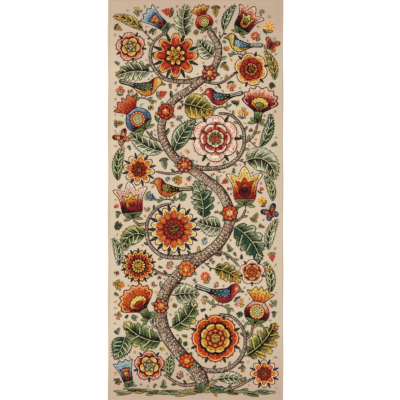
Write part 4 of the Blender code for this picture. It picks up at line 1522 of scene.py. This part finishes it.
def floor_material():
    n = Nodes("pale_floor")
    n.put(n.shader, Base_Color=n.ramp(n.noise(3.0, 2.0), 0.3, 0.7, 0.955, 0.965), Roughness=0.9)
    return n.material


# The turned hem's section: how far in from the edge, in millimetres, and the share of its rise
HEM = np.array([(0, 0.55), (0.5, 0.9), (1.3, 1.0), (6.6, 1.0), (7.6, 0.85), (8.4, 0.3), (9.2, 0.0)]) * [MM, 1]
HEM_ZONE = 16 * MM
EDGE_HEIGHT = 0.9 * MM
PUCKERS = (0.14 * MM, 0.05 * MM)
HEM_LINE = 7.4 * MM
HEM_STITCH = (2.6 * MM, 1.0 * MM)
HEM_STEP = 7 * MM


def linen_mesh():
    """The cloth as a thin closed sheet: a field with faint puckers inside a rounded, turned hem."""
    def lines(half):
        field = half - HEM_ZONE
        inner = np.linspace(-field, field, int((2 * half - 2 * HEM_ZONE) / CLOTH_CELL) + 1)
        return np.concatenate([-half + HEM[:, 0], inner, (half - HEM[:, 0])[::-1]])

    gx, gy = np.meshgrid(lines(PANEL_WIDTH / 2), lines(PANEL_LENGTH / 2), indexing="ij")
    inset = np.minimum(PANEL_WIDTH / 2 - np.abs(gx), PANEL_LENGTH / 2 - np.abs(gy))
    hem = np.interp(inset, HEM[:, 0], HEM[:, 1])
    z = np.where(inset < 0.1 * MM, EDGE_HEIGHT, LINEN + hem * HEM_RISE)
    pucker = np.sin(gx * 61 + 3 * np.sin(gy * 17)) * np.sin(gy * 53 + 2 * np.sin(gx * 23))
    z = z + np.where(hem > 0, PUCKERS[1], PUCKERS[0]) * pucker
    phase = TAU * np.stack([gx, gy]) / WANDER_LENGTH
    out_x, out_y = np.abs(gx) / PANEL_WIDTH * 2, np.abs(gy) / PANEL_LENGTH * 2
    px = gx + EDGE_WANDER * np.sin(phase[1] + gx) * out_x**4
    py = gy + EDGE_WANDER * np.sin(1.7 * phase[0] + gy) * out_y**4
    count = gx.size
    points = np.vstack([np.c_[px.ravel(), py.ravel(), height.ravel()] for height in (z, 0 * z)])
    index = np.arange(count).reshape(gx.shape)
    corners = index[:-1, :-1], index[1:, :-1], index[1:, 1:], index[:-1, 1:]
    quads = np.stack(corners, -1).reshape(-1, 4)
    rim = np.concatenate([index[:, 0], index[-1, 1:], index[-2::-1, -1], index[0, -2:0:-1]])
    follow = np.roll(rim, -1)
    walls = np.c_[rim + count, follow + count, follow, rim]
    mesh = bpy.data.meshes.new("linen")
    mesh.from_pydata(points.tolist(), [], np.vstack([quads, quads[:, ::-1] + count, walls]).tolist())
    mesh.polygons.foreach_set("use_smooth", np.ones(len(mesh.polygons), bool))
    mesh.update()
    return mesh


def hem_stitches():
    """Small slip stitches that hold the turned hem down."""
    work = Work(3)
    half = np.array([PANEL_WIDTH, PANEL_LENGTH]) / 2 - HEM_LINE
    corners = half * [(1, 1), (-1, 1), (-1, -1), (1, -1)]
    for start, end in zip(corners, np.roll(corners, -1, axis=0)):
        length = np.linalg.norm(end - start)
        way = (end - start) / length
        marks = np.arange(4 * MM, length - 4 * MM, HEM_STEP)[:, None] + work.rng.normal(0, 0.3 * MM, (1, 1))
        slant = way * HEM_STITCH[0] + np.array([-way[1], way[0]]) * HEM_STITCH[1]
        foot = start + way * marks
        work.lay(foot, foot + slant, yarn("thread"), 0.8 * MM, LINEN + 0.45 * MM, 0.4 * MM)
    return work


def show(name, mesh, material):
    piece = bpy.data.objects.new(name, mesh)
    bpy.context.scene.collection.objects.link(piece)
    mesh.materials.append(material)
    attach(piece, "root")
    return piece


def bands(limit):
    """Five equal bands across the panel's length, numbered from 1."""
    edges = np.linspace(-limit, limit, 6)
    return enumerate(zip(edges[:-1], edges[1:]), 1)


STEM_LIMIT = 0.92
wool = wool_material()
for number, motif in enumerate(MOTIFS):
    piece = show(motif.name + "_wool", worked_motif(motif, 100 + number).mesh(motif.name), wool)
    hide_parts(motif.name)
    motif.slot

stem_work = worked_stem()
for number, (low, high) in bands(STEM_LIMIT):
    mesh = stem_work.mesh(f"stem_{number}", lambda p: (p[:, 1] >= low) & (p[:, 1] < high))
    piece = show(f"stem_wool_{number}", mesh, wool)
    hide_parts("stem")

# Where the large motifs lie, with room round the leaves' teeth, the perches, the cups and the sepals
areas = [motif.placed(OUTLINES[motif.kind]) for motif in MOTIFS]
shapes = [(area, TEETH if motif.kind in LEAVES else 0) for motif, area in zip(MOTIFS, areas)]
shapes += [(stem.outline, 0) for stem in COURSES]
perch_area = np.array([(-0.14, -0.24), (0.28, -0.24), (0.28, -0.13), (-0.14, -0.13)])
cup_area = np.array([(-0.26, -0.10), (0.26, -0.10), (0.22, 0.14), (-0.22, 0.14)])
sepal_area = circle(0.575, 24)
for kinds, extra in ((("songbird",), perch_area), (CUP_TOPS, cup_area), (RINGS, sepal_area)):
    shapes += [(motif.placed(extra), 0) for motif in MOTIFS if motif.kind in kinds]
sprig_work = sprigs(shapes, areas)
for column, (side_name, on_side) in enumerate((("left", lambda x: x < 0), ("right", lambda x: x >= 0))):
    for number, (low, high) in bands(PANEL_LENGTH / 2):
        tile = lambda p: on_side(p[:, 0]) & (p[:, 1] >= low) & (p[:, 1] < high)
        piece = show(f"sprigs_{side_name}_{number}", sprig_work.mesh(f"sprigs_{column}_{number}", tile), wool)

hem_thread = show("hem_thread", hem_stitches().mesh("hem_thread"), wool)
linen = show("linen_cloth", linen_mesh(), linen_material())
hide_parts("linen_ground")

FLOOR_HALF = 60
floor_mesh = bpy.data.meshes.new("floor")
floor_corners = [(x * FLOOR_HALF, y * FLOOR_HALF, 0) for x, y in ((-1, -1), (1, -1), (1, 1), (-1, 1))]
floor_mesh.from_pydata(floor_corners, [], [(0, 1, 2, 3)])
floor_mesh.materials.append(floor_material())
floor = bpy.data.objects.new("floor", floor_mesh)
floor.location.z = -0.4 * MM
bpy.context.scene.collection.objects.link(floor)

world = bpy.data.worlds.new("studio")
world.use_nodes = True
world.node_tree.nodes["Background"].inputs["Color"].default_value = (1, 1, 1, 1)
world.node_tree.nodes["Background"].inputs["Strength"].default_value = 0.55
bpy.context.scene.world = world
sun = bpy.data.lights.new("softbox", "SUN")
sun.energy = 2.4
sun.angle = math.radians(24)
lamp = bpy.data.objects.new("softbox", sun)
lamp.rotation_euler = (math.radians(-34), math.radians(-30), 0)
bpy.context.scene.collection.objects.link(lamp)

# The panel is 175 of the photo's 400 pixels wide, and its middle is 4.5 pixels left of the photo's.
PIXEL = PANEL_WIDTH / 175
VIEW = 400 * PIXEL
lens = bpy.data.cameras.new("camera")
lens.lens = 100
camera = bpy.data.objects.new("camera", lens)
camera.location = (4.5 * PIXEL, 0, VIEW * lens.lens / lens.sensor_width)
bpy.context.scene.collection.objects.link(camera)
bpy.context.scene.camera = camera
bpy.context.scene.view_settings.view_transform = "Standard"
